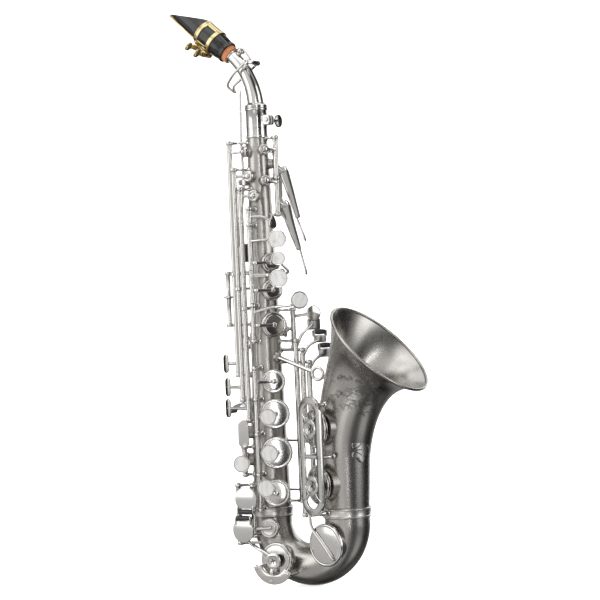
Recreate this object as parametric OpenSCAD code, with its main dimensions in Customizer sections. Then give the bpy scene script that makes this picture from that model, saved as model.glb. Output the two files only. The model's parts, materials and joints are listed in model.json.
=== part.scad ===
// Curved soprano saxophone. Lengths are in millimetres.
// The modules are drawn about the axis of the body tube: z = 0 is the joint between body and bow,
// +x points to the bell, +y to the player's left. placed() then moves the origin to the strap ring.

/* [Body tube] */
// Outer diameter of the body tube at its lower end
body_d = 30.6; // [30:0.1:31]
// Diameter lost for each millimetre of height
body_taper = 0.048; // [0.047:0.001:0.049]
// Height of the body tube
body_len = 305; // [304:1:306]
// Thickness of the tube walls
wall = 0.8; // [0.7:0.1:0.9]

/* [Bow and bell] */
// Distance between the axes of the body and the bell
leg_gap = 68; // [67.5:0.1:68.5]
// Straight stretch at each end of the bow
bow_leg = 12.5; // [12:0.5:13]
// Outer diameter of the bow at the bell side
bow_d = 36; // [35.5:0.1:36.5]
// Height at which the bell starts to lean forward
bell_straight = 40; // [39:1:41]
// Outer diameter where the bell starts to lean
bell_waist_d = 41; // [40.5:0.1:41.5]
// Radius of the bell's forward curve
bell_curve = 120; // [118:1:122]
// Angle that the bell leans forward at its rim
bell_lean = 45; // [44:0.5:46]
// Outer diameter of the bell's rim
bell_d = 97.6; // [96:0.2:99]

/* [Neck and mouthpiece] */
// Height at which the neck leaves the receiver
neck_z = 321; // [320:1:322]
// Radius of the neck's curve
neck_curve = 58; // [57:1:59]
// Angle that the neck turns towards the player
neck_turn = 50; // [49:1:51]
// Outer diameter of the neck at the receiver
neck_d0 = 13.9; // [13.6:0.1:14.2]
// Outer diameter of the neck at the cork
neck_d1 = 10.5; // [10.3:0.1:10.7]
// Length of the mouthpiece
mouthpiece_len = 64; // [63:0.5:65]

/* [Keywork] */
// Radius of the steel hinge rods
rod_r = 1.1; // [1.05:0.05:1.15]
// Outer radius of the hinge tubes
tube_r = 2.2; // [2.1:0.1:2.3]
// Radial running clearance between rod and tube
run_gap = 0.05; // [0.03:0.01:0.08]
// Height of the tone hole chimneys over the tube
chimney_h = 2.4; // [2.2:0.1:2.6]
// Thickness of a pad
pad_h = 2.4; // [2.2:0.1:2.4]
// Thickness of a pearl
pearl_h = 1.5; // [1.3:0.1:1.5]
// Swing of the open-standing stack keys
stack_open = 9; // [5:0.5:10]
// Swing of the low B and low B flat keys
bell_key_open = 4.5; // [3:0.5:4.5]
// Swing of the low C key
low_c_open = 5; // [3:0.5:5]

/* [Strap ring] */
// Height of the strap ring on the body
ring_z = 132; // [130:1:134]
// Radius of the strap ring's hole
ring_hole_r = 4.5; // [4.3:0.1:4.6]

/* [Hidden] */
$fn = 48;
eps = 0.01;
solid_gap = 0.05;     // air between a cup and its pad, or a holder and its pearl
seat_gap = 0.1;       // air between a closed pad and its tone hole
cup_wall = 0.7;
cup_top = 1;
cup_h = seat_gap + pad_h + solid_gap + cup_top;   // from the rim plane to the top of a closed cup
arm_w = 2.6;
arm_t = 1.6;
hole_share = 0.72;    // tone hole radius as a share of the cup's radius
ring_x = -19.5;
silver = "#c9c9cb";
bright = "#e4e4e6";
gold = "#cfa748";
black = "#1b1b1d";

// ---- Places. A hinge is [radius, angle] about the body's axis; angles run from +x towards +y.
lh_hinge = [19.5, -88];
rh_hinge = [25, -82];
high_e_hinge = [23, -146];
side_c_hinge = [22, -126];
side_bb_hinge = [21, -108];
back_hinge = [22, -129.5];
palm_hinge = [16.5, 0];
palm_d_hinge = [16.5, 64];
g_sharp_hinge = [24, 48];
c_sharp_hinge = [26.2, 6.6];
low_b_hinge = [30.6, 11.3];
low_bb_hinge = [35.2, 14.8];
c_sharp_key_hinge = [40.5, -20.2];
low_eb_hinge = [24.3, -98.3];
low_c_hinge = [27.6, -136.5];
body_octave_hinge = [15.5, 128];
back_bar = [29.5, -165];

// Tone holes on the body tube: [angle, height, cup radius]
th_b = [-34, 196, 7.9];
th_a = [-34, 174, 8.6];
th_g = [-34, 146, 10.4];
th_bis = [4, 185.8, 5.3];
th_g_sharp = [28, 142, 6.5];
th_f_sharp = [-46, 101, 9.6];
th_f = [-46, 75, 12];
th_e = [-46, 44, 12.9];
th_d = [-50, 12, 11];
th_palm_f = [-36, 287, 4.6];
th_palm_eb = [-36, 262, 4.6];
th_palm_d = [32, 276, 4.6];
th_high_e = [-120, 286, 4.6];
th_side_c = [-100, 266, 4.8];
th_side_bb = [-82, 250, 5];
th_high_f = [-155, 60, 6];
th_alt_f = [-155, 38, 6];
th_octave = [160, 290, 3.4];
BODY_HOLES = [th_b, th_a, th_g, th_bis, th_g_sharp, th_f_sharp, th_f, th_e, th_d, th_palm_f, th_palm_eb,
    th_palm_d, th_high_e, th_side_c, th_side_bb, th_high_f, th_alt_f, th_octave];

// Tone holes off the body tube: [point on the tube's axis, angle of the hole, cup radius, tube radius]
bell_hole_angle = -113;
low_b_z = 64;
low_bb_z = 19.5;
low_c_place = [14.5, 0, -40.4];
low_cs_place = [64.3, 0, -28];
low_eb_place = [0.2, 0, -16];
function bell_x(z) = leg_gap + (z > bell_straight
    ? bell_curve * (1 - cos(asin((z - bell_straight) / bell_curve))) : 0);
th_low_b = [[bell_x(low_b_z), 0, low_b_z], bell_hole_angle, 15.5, 22.6];
th_low_bb = [[leg_gap, 0, low_bb_z], bell_hole_angle, 15.5, 19.4];
th_low_cs = [low_cs_place, -103, 17, 17.6];
th_low_c = [low_c_place, -85, 14, 16.6];
th_low_eb = [low_eb_place, -70, 8, 15.5];

// ---- Functions
function body_r(z) = (body_d - body_taper * z) / 2;
function polar(p) = [p[0] * cos(p[1]), p[0] * sin(p[1])];
function at_z(p, z) = [p[0], p[1], z];
function rim_of(hole) = body_r(hole[1]) + chimney_h;
function spot(r, a, z) = at_z(polar([r, a]), z);

// ---- Shared shapes
module placed() {
    translate([-ring_x, 0, -ring_z])
        children();
}

module facing(angle, z = 0) {
    translate([0, 0, z])
        rotate(angle)
            children();
}

// A twelve-sided bar from p to q
module bar(p, q, d) {
    v = q - p;
    len = norm(v);
    translate(p)
        rotate([0, acos(v[2] / len), atan2(v[1], v[0])])
            cylinder(h = len, d = d, $fn = 12);
}

// Bars through a list of points, with a slightly larger ball at each bend
module bent_bar(points, d) {
    for (i = [0 : len(points) - 2])
        bar(points[i], points[i + 1], d);
    for (i = [1 : len(points) - 2])
        translate(points[i])
            sphere(d = d * 1.15, $fn = 24);
}

// A flat strip through points of the xy plane, centred on z = 0
module strip(points, width, thick) {
    linear_extrude(height = width, center = true)
        for (i = [0 : len(points) - 2]) {
            v = points[i + 1] - points[i];
            translate(points[i])
                rotate(atan2(v[1], v[0]))
                    translate([0, -thick / 2])
                        square([norm(v), thick]);
            translate(points[i + 1])
                circle(d = thick, $fn = 24);
        }
}

// A plate with round ends, standing in the yz plane at x = 0
module oblong(length, width, thick) {
    rotate([0, 90, 0])
        linear_extrude(height = thick, center = true) {
            square([length - width, width], center = true);
            for (s = [-1, 1])
                translate([s * (length - width) / 2, 0])
                    circle(d = width);
        }
}

module hinge_tube(hinge, z0, z1) {
    translate(at_z(polar(hinge), z0))
        cylinder(h = z1 - z0, r = tube_r, $fn = 32);
}

module hinge_bore(hinge, z0, z1) {
    translate(at_z(polar(hinge), z0 - 1))
        cylinder(h = z1 - z0 + 2, r = rod_r + run_gap, $fn = 32);
}

// A key on an upright rod. Its children are the metal; swing turns it off its tone hole.
module key_metal(hinge, z0, z1) {
    difference() {
        union() {
            hinge_tube(hinge, z0, z1);
            children();
        }
        hinge_bore(hinge, z0, z1);
    }
}

module swung(hinge, angle) {
    h = at_z(polar(hinge), 0);
    translate(h)
        rotate(angle)
            translate(-h)
                children();
}

// Metal shell of a pad cup. It closes on the plane z = 0, which is the chimney's edge.
module cup_shell(r) {
    pad_top = seat_gap + pad_h + solid_gap;
    rotate_extrude()
        polygon([[0, pad_top], [r - cup_wall, pad_top], [r - cup_wall, seat_gap + 0.9],
            [r, seat_gap + 0.9], [r, cup_h - 0.9], [r - 0.7, cup_h - 0.2], [r - 1.4, cup_h - 0.2],
            [r - 1.9, cup_h - 0.35], [r - 2.4, cup_h - 0.1], [0, cup_h + 0.25]]);
}

module pad(r) {
    color("#8a6a4c")
        translate([0, 0, seat_gap])
            cylinder(h = pad_h, r = r - cup_wall - solid_gap);
}

module on_hole(hole) {
    facing(hole[0], hole[1])
        translate([rim_of(hole), 0, 0])
            rotate([0, 90, 0])
                children();
}

// Arm from an upright rod to the middle of a cup on the body tube
module cup_arm(hinge, hole, z = undef, via = undef) {
    h = polar([hinge[0], hinge[1] - hole[0]]);
    top = rim_of(hole) + cup_h + arm_t / 2 - 0.2;
    knee = h[0] < top - 1 ? [top, h[1] * 0.93] : [top, sign(h[1]) * hole[2] * 0.55];
    facing(hole[0], is_undef(z) ? hole[1] : z)
        strip(concat([h], is_undef(via) ? [knee] : via, [[top, 0]]), arm_w, arm_t);
    facing(hole[0], hole[1])
        translate([top - arm_t / 2, 0, 0])
            rotate([0, 90, 0])
                cylinder(h = arm_t + 0.4, r = 2.2, $fn = 32);
}

// Pearl touch: a metal holder with its disc, at p, facing the given angle
module at_touch(p, angle) {
    translate(p)
        rotate(angle)
            rotate([0, 90, 0])
                children();
}

module pearl_holder(r) {
    rotate_extrude()
        polygon([[0, -1.2], [r - 0.8, -1.2], [r, -0.3], [r, 0.9], [r - 0.7, 1.1], [r - 0.7, 0], [0, 0]]);
}

module pearl(r) {
    color("#f4f1e8")
        translate([0, 0, solid_gap])
            rotate_extrude()
                polygon([[0, 0], [r - 0.7 - solid_gap, 0], [r - 0.7 - solid_gap, pearl_h * 0.8],
                    [r - 1.6, pearl_h * 0.95], [r * 0.5, pearl_h * 0.8], [0, pearl_h * 0.7]]);
}

// Tube swept along rings in the xz plane: each ring is [x, z, angle of travel, outer r, inner r]
function ring_points(ring, r, n) = [for (i = [0 : n - 1])
    let (a = 360 * i / n, u = r * cos(a), v = r * sin(a))
    [ring[0] - u * sin(ring[2]), v, ring[1] + u * cos(ring[2])]];

module swept_tube(rings, n) {
    count = len(rings);
    outer = [for (g = rings) each ring_points(g, g[3], n)];
    inner = [for (g = rings) each ring_points(g, g[4], n)];
    shift = count * n;
    side = [for (k = [0 : count - 2]) for (i = [0 : n - 1])
        let (j = (i + 1) % n, a = k * n + i, b = k * n + j, c = b + n, d = a + n)
        each [[a, b, c], [a, c, d]]];
    bore = [for (f = side) [f[2] + shift, f[1] + shift, f[0] + shift]];
    last = (count - 1) * n;
    ends = [for (i = [0 : n - 1]) let (j = (i + 1) % n)
        each [[i, i + shift, j + shift], [i, j + shift, j],
            [last + j, last + j + shift, last + i + shift], [last + j, last + i + shift, last + i]]];
    polyhedron(points = concat(outer, inner), faces = concat(side, bore, ends), convexity = 6);
}

// ---- Fixed tubes
module body_tube() {
    color(silver)
        difference() {
            union() {
                cylinder(h = body_len, r1 = body_r(0), r2 = body_r(body_len), $fn = 64);
                for (hole = BODY_HOLES)
                    facing(hole[0], hole[1])
                        translate([3, 0, 0])
                            rotate([0, 90, 0])
                                cylinder(h = rim_of(hole) - 3, r = hole[2] * hole_share + wall);
            }
            translate([0, 0, -eps])
                cylinder(h = body_len + 2 * eps, r1 = body_r(0) - wall,
                    r2 = body_r(body_len) - wall, $fn = 64);
            for (hole = BODY_HOLES)
                facing(hole[0], hole[1])
                    rotate([0, 90, 0])
                        cylinder(h = rim_of(hole) + 1, r = hole[2] * hole_share);
        }
}

bow_r = leg_gap / 2;
bow_steps = 18;
bow_rings = [for (k = [-1 : bow_steps + 1])
    let (t = max(0, min(1, k / bow_steps)), a = 180 * t, r = (body_d + (bow_d - body_d) * t) / 2)
    k < 0 ? [0, 0, -90, body_d / 2, body_d / 2 - wall]
    : k > bow_steps ? [leg_gap, 0, 90, bow_d / 2, bow_d / 2 - wall]
    : [bow_r - bow_r * cos(a), -bow_leg - bow_r * sin(a), a - 90, r, r - wall]];

module bow() {
    color(silver)
        swept_tube(bow_rings, 40);
}

bell_steps = 20;
rim_roll = 1.1;
bell_rim_r = bell_d / 2 - rim_roll;
function flare(u) = bell_waist_d / 2 + 8 * u + (bell_rim_r - bell_waist_d / 2 - 8) * pow(u, 5);
function bell_ring(u, out) = let (a = bell_lean * u)
    [leg_gap + bell_curve * (1 - cos(a)), bell_straight + bell_curve * sin(a), 90 - a,
        flare(u) + out, flare(u) - wall];
bell_rings = concat(
    [[leg_gap, 0.05, 90, bow_d / 2, bow_d / 2 - wall]],
    [for (k = [0 : bell_steps]) bell_ring(pow(k / bell_steps, 0.75) * 0.985, 0)],
    [bell_ring(0.988, rim_roll), bell_ring(0.999, rim_roll), bell_ring(1.002, rim_roll * 0.4)]);

module bell() {
    color(silver)
        swept_tube(bell_rings, 48);
}

// Chimney standing on a bent tube; its foot sits in the tube's wall
module off_axis(hole) {
    translate(hole[0])
        rotate(hole[1])
            rotate([0, 90, 0])
                children();
}

module chimney(hole) {
    r = hole[2] * hole_share;
    foot = sqrt(pow(hole[3], 2) - pow(r + wall, 2)) - 0.6;
    off_axis(hole)
        translate([0, 0, foot])
            difference() {
                cylinder(h = hole[3] + chimney_h - foot, r = r + wall);
                translate([0, 0, -1])
                    cylinder(h = hole[3] + chimney_h - foot + 2, r = r);
            }
}

module bow_tone_rings() {
    color(silver) {
        chimney(th_low_cs);
        chimney(th_low_c);
        chimney(th_low_eb);
    }
}

module bell_tone_rings() {
    color(silver) {
        chimney(th_low_b);
        chimney(th_low_bb);
    }
}

module joint_ring(r, height) {
    rotate_extrude($fn = 64)
        polygon([[r + 0.03, 0], [r + 1.1, 0], [r + 1.6, 0.5], [r + 1.6, 1.5], [r + 1.1, 2],
            [r + 1.1, height - 2], [r + 1.6, height - 1.5], [r + 1.6, height - 0.5], [r + 1.1, height],
            [r + 0.03, height]]);
}

module body_bow_ring() {
    color(silver)
        translate([0, 0, -8])
            joint_ring(body_d / 2, 8);
}

module bell_bow_ring() {
    color(silver)
        translate([leg_gap, 0, -8])
            joint_ring(bow_d / 2, 8);
}

// Socket that takes the neck's tenon, with a split clamp
receiver_r = 8.8;
lug_x = receiver_r + 2.6;
module neck_receiver() {
    top_r = body_r(body_len);
    color(bright)
        difference() {
            union() {
                rotate_extrude($fn = 64)
                    polygon([[top_r + 0.03, body_len - 8], [top_r + 1.2, body_len - 8],
                        [receiver_r, body_len], [receiver_r, neck_z - 1.5],
                        [receiver_r + 0.9, neck_z - 1.5], [receiver_r + 0.9, neck_z - 0.3],
                        [top_r - wall, neck_z - 0.3], [top_r - wall, body_len + 0.05],
                        [top_r + 0.03, body_len + 0.05]]);
                translate([receiver_r - 1, -4, body_len + 2])
                    cube([6, 8, 8]);
            }
            translate([0, -0.5, body_len + 1])
                cube([30, 1, 30]);
            translate([lug_x, -10, body_len + 6])
                rotate([-90, 0, 0])
                    cylinder(h = 20, r = 1.35, $fn = 32);
        }
}

// ---- Posts and rods: [hinge, heights of its posts]
POSTS = [
    [lh_hinge, [133.5, 161.8, 226.5, 239.5]],
    [rh_hinge, [112, 87, 59, 27, -0.8]],
    [high_e_hinge, [106.5, 293.5]],
    [side_c_hinge, [86.5, 271.5]],
    [side_bb_hinge, [70.5, 255.5]],
    [back_hinge, [26.5, 48.5, 68.5]],
    [palm_hinge, [234.5, 263.8, 296.5]],
    [palm_d_hinge, [262.5, 286.5]],
    [g_sharp_hinge, [125.5, 157.5]],
    [body_octave_hinge, [278.5, 299.5]],
    [c_sharp_hinge, [4, 132.5]],
    [low_eb_hinge, [18]],
    [low_c_hinge, [18]]];
// Leaning posts: [hinge, angle of their feet on the body, heights]
LEANING_POSTS = [
    [low_b_hinge, 45, [52, 125]],
    [low_bb_hinge, 60, [12, 115]]];
// Guides that steady the long side tubes half way: [hinge, height]
GUIDES = [
    [high_e_hinge, 188],
    [side_c_hinge, 176],
    [side_bb_hinge, 160]];
post_half = 1.5;
head_r = tube_r + 0.15;

module post(hinge, z) {
    foot = body_r(z) - 0.3;
    facing(hinge[1], z)
        rotate([0, 90, 0]) {
            translate([0, 0, foot])
                cylinder(h = 1.1, r = 2.6, $fn = 24);
            translate([0, 0, foot])
                cylinder(h = hinge[0] - foot - 1.6, r = 1.1, $fn = 24);
        }
    translate(at_z(polar(hinge), z - post_half))
        cylinder(h = 2 * post_half, r = head_r, $fn = 32);
}

// A post that leans from the given foot to an upright rod
module leaning_post(foot, hinge, z, d) {
    head = at_z(polar(hinge), z);
    v = head - foot;
    bar(foot, head - v * 1.6 / norm(v), d);
    translate(head - [0, 0, post_half])
        cylinder(h = 2 * post_half, r = head_r, $fn = 32);
}

// A ring on a stem; the key's tube turns inside it
module guide(hinge, z) {
    foot = body_r(z) - 0.3;
    difference() {
        union() {
            facing(hinge[1], z)
                rotate([0, 90, 0])
                    translate([0, 0, foot])
                        cylinder(h = hinge[0] - foot - tube_r, r = 1.1, $fn = 24);
            translate(at_z(polar(hinge), z - post_half))
                cylinder(h = 2 * post_half, r = tube_r + 1.1, $fn = 32);
        }
        translate(at_z(polar(hinge), z - 10))
            cylinder(h = 20, r = tube_r + 0.07, $fn = 32);
    }
}

module key_posts() {
    color(bright) {
        for (row = POSTS)
            for (z = row[1])
                post(row[0], z);
        for (row = LEANING_POSTS)
            for (z = row[2])
                leaning_post(spot(body_r(z) - 0.3, row[1], z), row[0], z, 2);
        for (row = GUIDES)
            guide(row[0], row[1]);
        for (z = [-5.5, 14.5])
            leaning_post([leg_gap - 16, -8, z], c_sharp_key_hinge, z, 2.6);
        back_rail();
        leaning_post([-2, -14, low_eb_foot_z], low_eb_hinge, low_eb_foot_z, 2.6);
        leaning_post([-2, -12, low_c_foot_z], low_c_hinge, low_c_foot_z, 2.6);
        octave_post();
    }
}

// Upright rail over the strap ring, on two posts, with a flange half way up
module back_rail() {
    for (z = [147, 189])
        post(back_bar, z);
    translate(at_z(polar(back_bar), 147))
        cylinder(h = 42, r = 1.9, $fn = 32);
    translate(at_z(polar(back_bar), 169))
        cylinder(h = 1.2, r = 4.2, $fn = 32);
}

low_eb_foot_z = -21.5;
low_c_foot_z = -28.2;
octave_pivot = [-14.5, 0, 262];
module octave_post() {
    for (s = [-1, 1])
        difference() {
            translate([octave_pivot[0] - 2.4, s * 4.2 - 1.1, octave_pivot[2] - 2.4])
                cube([7.5, 2.2, 4.8]);
            translate([octave_pivot[0], 0, octave_pivot[2]])
                rotate([90, 0, 0])
                    cylinder(h = 20, r = rod_r, center = true, $fn = 32);
        }
}

// Rods: [hinge, lower end, upper end]
RODS = [
    [lh_hinge, 132, 241], [rh_hinge, -2.3, 113.5], [high_e_hinge, 105, 295], [side_c_hinge, 85, 273],
    [side_bb_hinge, 69, 257], [back_hinge, 25, 70], [palm_hinge, 233, 298], [palm_d_hinge, 261, 288],
    [g_sharp_hinge, 124, 159], [body_octave_hinge, 277, 301], [c_sharp_hinge, 2.5, 134],
    [low_b_hinge, 50.5, 126.5], [low_bb_hinge, 10.5, 116.5], [c_sharp_key_hinge, -7, 16],
    [low_eb_hinge, low_eb_foot_z - post_half, 19.5], [low_c_hinge, low_c_foot_z - post_half, 19.5]];

module hinge_rods() {
    color("#b5b5b8") {
        for (row = RODS)
            translate(at_z(polar(row[0]), row[1]))
                cylinder(h = row[2] - row[1], r = rod_r, $fn = 32);
        translate(octave_pivot)
            rotate([90, 0, 0])
                cylinder(h = 11, r = rod_r, center = true, $fn = 32);
    }
}

// ---- Fittings on the player's side
module strap_ring() {
    foot = body_r(ring_z);
    color(bright)
        difference() {
            union() {
                translate([ring_x, 0, ring_z])
                    rotate([90, 0, 0])
                        rotate_extrude()
                            polygon([[ring_hole_r, -1.2], [ring_hole_r + 0.9, -1.7],
                                [ring_hole_r + 1.9, -1.2], [ring_hole_r + 1.9, 1.2],
                                [ring_hole_r + 0.9, 1.7], [ring_hole_r, 1.2]]);
                translate([-foot - 2.2, -1.5, ring_z - 4])
                    cube([2, 3, 8]);
                facing(180, ring_z)
                    translate([foot - 0.2, 0, 0])
                        rotate([0, 90, 0])
                            linear_extrude(height = 0.9)
                                square([18, 7], center = true);
            }
            translate([ring_x, 0, ring_z])
                rotate([90, 0, 0])
                    cylinder(h = 10, r = ring_hole_r, center = true);
        }
}

hook_z = 74;
module thumb_hook() {
    foot = body_r(hook_z);
    color(bright)
        facing(180, hook_z) {
            translate([foot - 0.2, 0, 0])
                rotate([0, 90, 0])
                    linear_extrude(height = 1.4) {
                        square([18, 8], center = true);
                        for (s = [-1, 1])
                            translate([s * 9, 0])
                                circle(d = 8);
                    }
            translate([foot + 1, 0, 4])
                rotate([0, 90, 0])
                    cylinder(h = 2.2, r = 2.4, $fn = 32);
            rotate([90, 0, 0])
                translate([foot + 11, -1, -6])
                    rotate(15)
                        rotate_extrude_arc(10.4, 1.6, 12, 165);
        }
}

// A curved blade: an arc of the given radius, thickness, width and angle, bending round z
module rotate_extrude_arc(r, thick, width, angle) {
    rotate_extrude(angle = angle, $fn = 64)
        translate([r - thick, 0])
            square([thick, width]);
}

rest_z = 205;
module thumb_rest() {
    foot = body_r(rest_z);
    color(black)
        facing(180, rest_z)
            translate([foot + 0.15, 0, 0])
                rotate([0, 90, 0])
                    rotate_extrude()
                        polygon([[0, 0], [6, 0], [7.4, 1.5], [7.6, 4], [6.4, 6.4], [3.5, 7.8], [0, 8.3]]);
}

// ---- Braces and guards
module bell_brace() {
    start = [body_r(120) - 0.4, -3, 120];
    middle = [50, -6, 106];
    finish = [59.5, -4, 100.5];
    color(bright) {
        difference() {
            union() {
                bar(start, middle, 3.2);
                bar(middle, finish, 3.2);
                translate(middle)
                    rotate([90, 0, 0])
                        cylinder(h = 3.4, r = 6, center = true);
            }
            translate(middle)
                rotate([90, 0, 0])
                    cylinder(h = 12, r = 3.6, center = true);
        }
        facing(-14, 120)
            translate([body_r(120) - 0.3, 0, 0])
                rotate([0, 90, 0])
                    cylinder(h = 1.2, r = 4.5, $fn = 32);
    }
}

// Wing-shaped foot plate on the front of the bell
plate_z = 46;
module bell_foot_plate() {
    color(bright)
        translate([bell_x(plate_z), 0, plate_z])
            rotate(-30)
                translate([flare((plate_z - bell_straight) / bell_curve / sin(bell_lean)) - 0.3, 0, 0])
                    rotate([0, 90, 0])
                        linear_extrude(height = 1.5) {
                            circle(r = 2.6);
                            for (s = [-1, 1])
                                rotate(s * 62)
                                    translate([5, 0]) {
                                        square([10, 2.6], center = true);
                                        translate([5, 0])
                                            circle(r = 2.1);
                                    }
                        }
}

guard_r = 33.4;
guard_lo = 9;
guard_hi = 76;
guard_half = 13;
guard_band = 3.6;
guard_t = 2;
bumper_r = 6.4;

module guard_place() {
    translate([leg_gap + 0.6, 0, 0])
        rotate(bell_hole_angle)
            translate([guard_r, 0, 0])
                rotate([90, 0, 90])
                    children();
}

module stadium(half, lo, hi) {
    translate([-half, lo])
        square([2 * half, hi - lo]);
    for (y = [lo, hi])
        translate([0, y])
            circle(r = half);
}

module bell_key_guard() {
    color(bright) {
        guard_place()
            linear_extrude(height = guard_t)
                difference() {
                    union() {
                        difference() {
                            stadium(guard_half, guard_lo, guard_hi);
                            stadium(guard_half - guard_band, guard_lo, guard_hi);
                        }
                        for (y = [low_b_z, low_bb_z])
                            translate([0, y]) {
                                circle(r = bumper_r + 1.6);
                                square([2 * guard_half - 1, 3], center = true);
                            }
                        translate([-guard_half + 0.5, 40.5])
                            square([2 * guard_half - 1, 3.4]);
                    }
                    for (y = [low_b_z, low_bb_z])
                        translate([0, y])
                            circle(r = bumper_r - 2.4);
                }
        guard_place()
            for (p = [[guard_half - 2, 83, 6.3], [-guard_half + 2, 42, 12.7],
                    [guard_half - 2, 42, 12.7], [0, -3, 14.1]])
                translate([p[0], p[1], -p[2]])
                    cylinder(h = p[2] + 0.5, r = 1.7, $fn = 24);
    }
}

low_c_guard_y = -30;
module low_c_guard() {
    c = low_c_place;
    color(bright) {
        translate([c[0] + 2, low_c_guard_y, c[2]])
            rotate([90, 0, 0]) {
                rotate(-165)
                    rotate_extrude(angle = 135)
                        translate([14.6, 0])
                            square([4, 1.8]);
                linear_extrude(height = 1.8)
                    difference() {
                        union() {
                            circle(r = bumper_r);
                            rotate(-100)
                                translate([0, -1.5])
                                    square([16, 3]);
                        }
                        circle(r = bumper_r - 2.6);
                    }
            }
        for (a = [-160, -97, -40])
            translate([c[0] + 2 + 16.6 * cos(a), low_c_guard_y - 0.5, c[2] + 16.6 * sin(a)])
                rotate([-90, 0, 0])
                    cylinder(h = a == -97 ? 25 : 19, r = 1.6, $fn = 24);
    }
}

// Felt bumpers with their set screws, one in each guard ring
module guard_bumpers() {
    color(black) {
        guard_place()
            for (felt = [[low_b_z, 1.7], [low_bb_z, 4.3]])
                translate([0, felt[0], -felt[1]])
                    cylinder(h = felt[1] - 0.05, r = 4.6, $fn = 32);
        translate([low_c_place[0] + 2, low_c_guard_y + 0.05, low_c_place[2]])
            rotate([-90, 0, 0])
                cylinder(h = 1.6, r = 4.6, $fn = 32);
    }
}

// ---- Neck, mouthpiece and octave work
neck_steps = 12;
tenon_r = body_r(body_len) - wall - 0.06;
cork_len = 16;
neck_end = [-neck_curve * (1 - cos(neck_turn)), neck_z + neck_curve * sin(neck_turn)];
neck_dir = neck_turn + 90;
neck_rings = concat(
    [for (k = [0 : neck_steps]) let (a = neck_turn * k / neck_steps,
        r = (neck_d0 + (neck_d1 - neck_d0) * k / neck_steps) / 2)
        [-neck_curve * (1 - cos(a)), neck_z + neck_curve * sin(a), 90 + a, r, r - wall]],
    [[neck_end[0] + cork_len * cos(neck_dir), neck_end[1] + cork_len * sin(neck_dir), neck_dir,
        neck_d1 / 2, neck_d1 / 2 - wall]]);

// Octave key seat on the neck's outer curve: [angle along the curve, height over the centreline]
function neck_top(a, h) = [-neck_curve + (neck_curve + h) * cos(a), 0, neck_z + (neck_curve + h) * sin(a)];
neck_pivot = neck_top(34, 9.4);
neck_pip = neck_top(46, 5);

module neck() {
    color(bright) {
        swept_tube(neck_rings, 28);
        // Octave pip
        translate(neck_top(46, 4.2))
            rotate([0, 90 - 46, 0])
                difference() {
                    cylinder(h = 2.4, r = 2.3, $fn = 32);
                    translate([0, 0, -1])
                        cylinder(h = 5, r = 0.8, $fn = 24);
                }
        // Tenon and collar
        translate([0, 0, -solid_gap])
            rotate_extrude($fn = 64)
                polygon([[tenon_r - 1.2, neck_z - 13], [tenon_r, neck_z - 13], [tenon_r, neck_z],
                    [receiver_r + 0.6, neck_z], [receiver_r + 0.6, neck_z + 2.6],
                    [neck_d0 / 2 + 0.12, neck_z + 4.4], [neck_d0 / 2 + 0.12, neck_z],
                    [tenon_r - 1.2, neck_z]]);
    }
}

module along_neck() {
    translate([neck_end[0], 0, neck_end[1]])
        rotate([0, -neck_dir, 0])
            children();
}

module neck_cork() {
    color("#b0683a")
        along_neck()
            translate([0.4, 0, 0])
                rotate([0, 90, 0])
                    difference() {
                        cylinder(h = cork_len - 0.4, r = neck_d1 / 2 + 2.1);
                        translate([0, 0, -1])
                            cylinder(h = cork_len + 2, r = neck_d1 / 2 + 0.02);
                    }
}

cork_shows = 4.5;
mouth_r = 9.9;
bore_r = neck_d1 / 2 + 2.15;
table_z = 6.4;
table_x = 13.2;
reed_back = 1.8;
window_x = 30;
module on_mouthpiece() {
    along_neck()
        translate([cork_shows, 0, 0])
            children();
}

module mouthpiece() {
    l = mouthpiece_len;
    color(black)
        on_mouthpiece()
            difference() {
                rotate([0, 90, 0])
                    rotate_extrude($fn = 64)
                        polygon([[0, 0], [8.7, 0], [9.1, 0.5], [9.1, 3], [8.8, 3.4], [9.4, 7], [mouth_r, 12],
                            [mouth_r, 34], [8.4, 48], [6.6, l - 1], [6.2, l], [0, l]]);
                // Tenon bore, throat and chamber
                rotate([0, 90, 0])
                    translate([0, 0, -1])
                        cylinder(h = 13.5, r = bore_r);
                rotate([0, 90, 0])
                    cylinder(h = 46, r = 4.4);
                // Flat table for the reed
                translate([table_x, -20, table_z])
                    cube([100, 40, 20]);
                // Window under the reed
                translate([window_x, -4.3, 1.5])
                    cube([l - window_x - 1.6, 8.6, 20]);
                // Slope of the beak
                translate([34, -20, -mouth_r])
                    rotate([0, -27.2, 0])
                        translate([0, 0, -30])
                            cube([60, 40, 30]);
            }
}

module reed() {
    l = mouthpiece_len;
    color("#d9b26a")
        on_mouthpiece()
            intersection() {
                rotate([-90, 0, 0])
                    translate([0, 0, -6.2])
                        linear_extrude(height = 12.4)
                            polygon([[table_x + 0.4, -table_z - solid_gap], [l - 0.2, -table_z - solid_gap],
                                [l - 0.2, -table_z - 0.25], [34, -table_z - reed_back],
                                [table_x + 0.4, -table_z - reed_back]]);
                union() {
                    translate([0, -5.4, 0])
                        cube([20, 10.8, 20]);
                    translate([19.9, -5.7, 0])
                        cube([100, 11.4, 20]);
                }
            }
}

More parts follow.
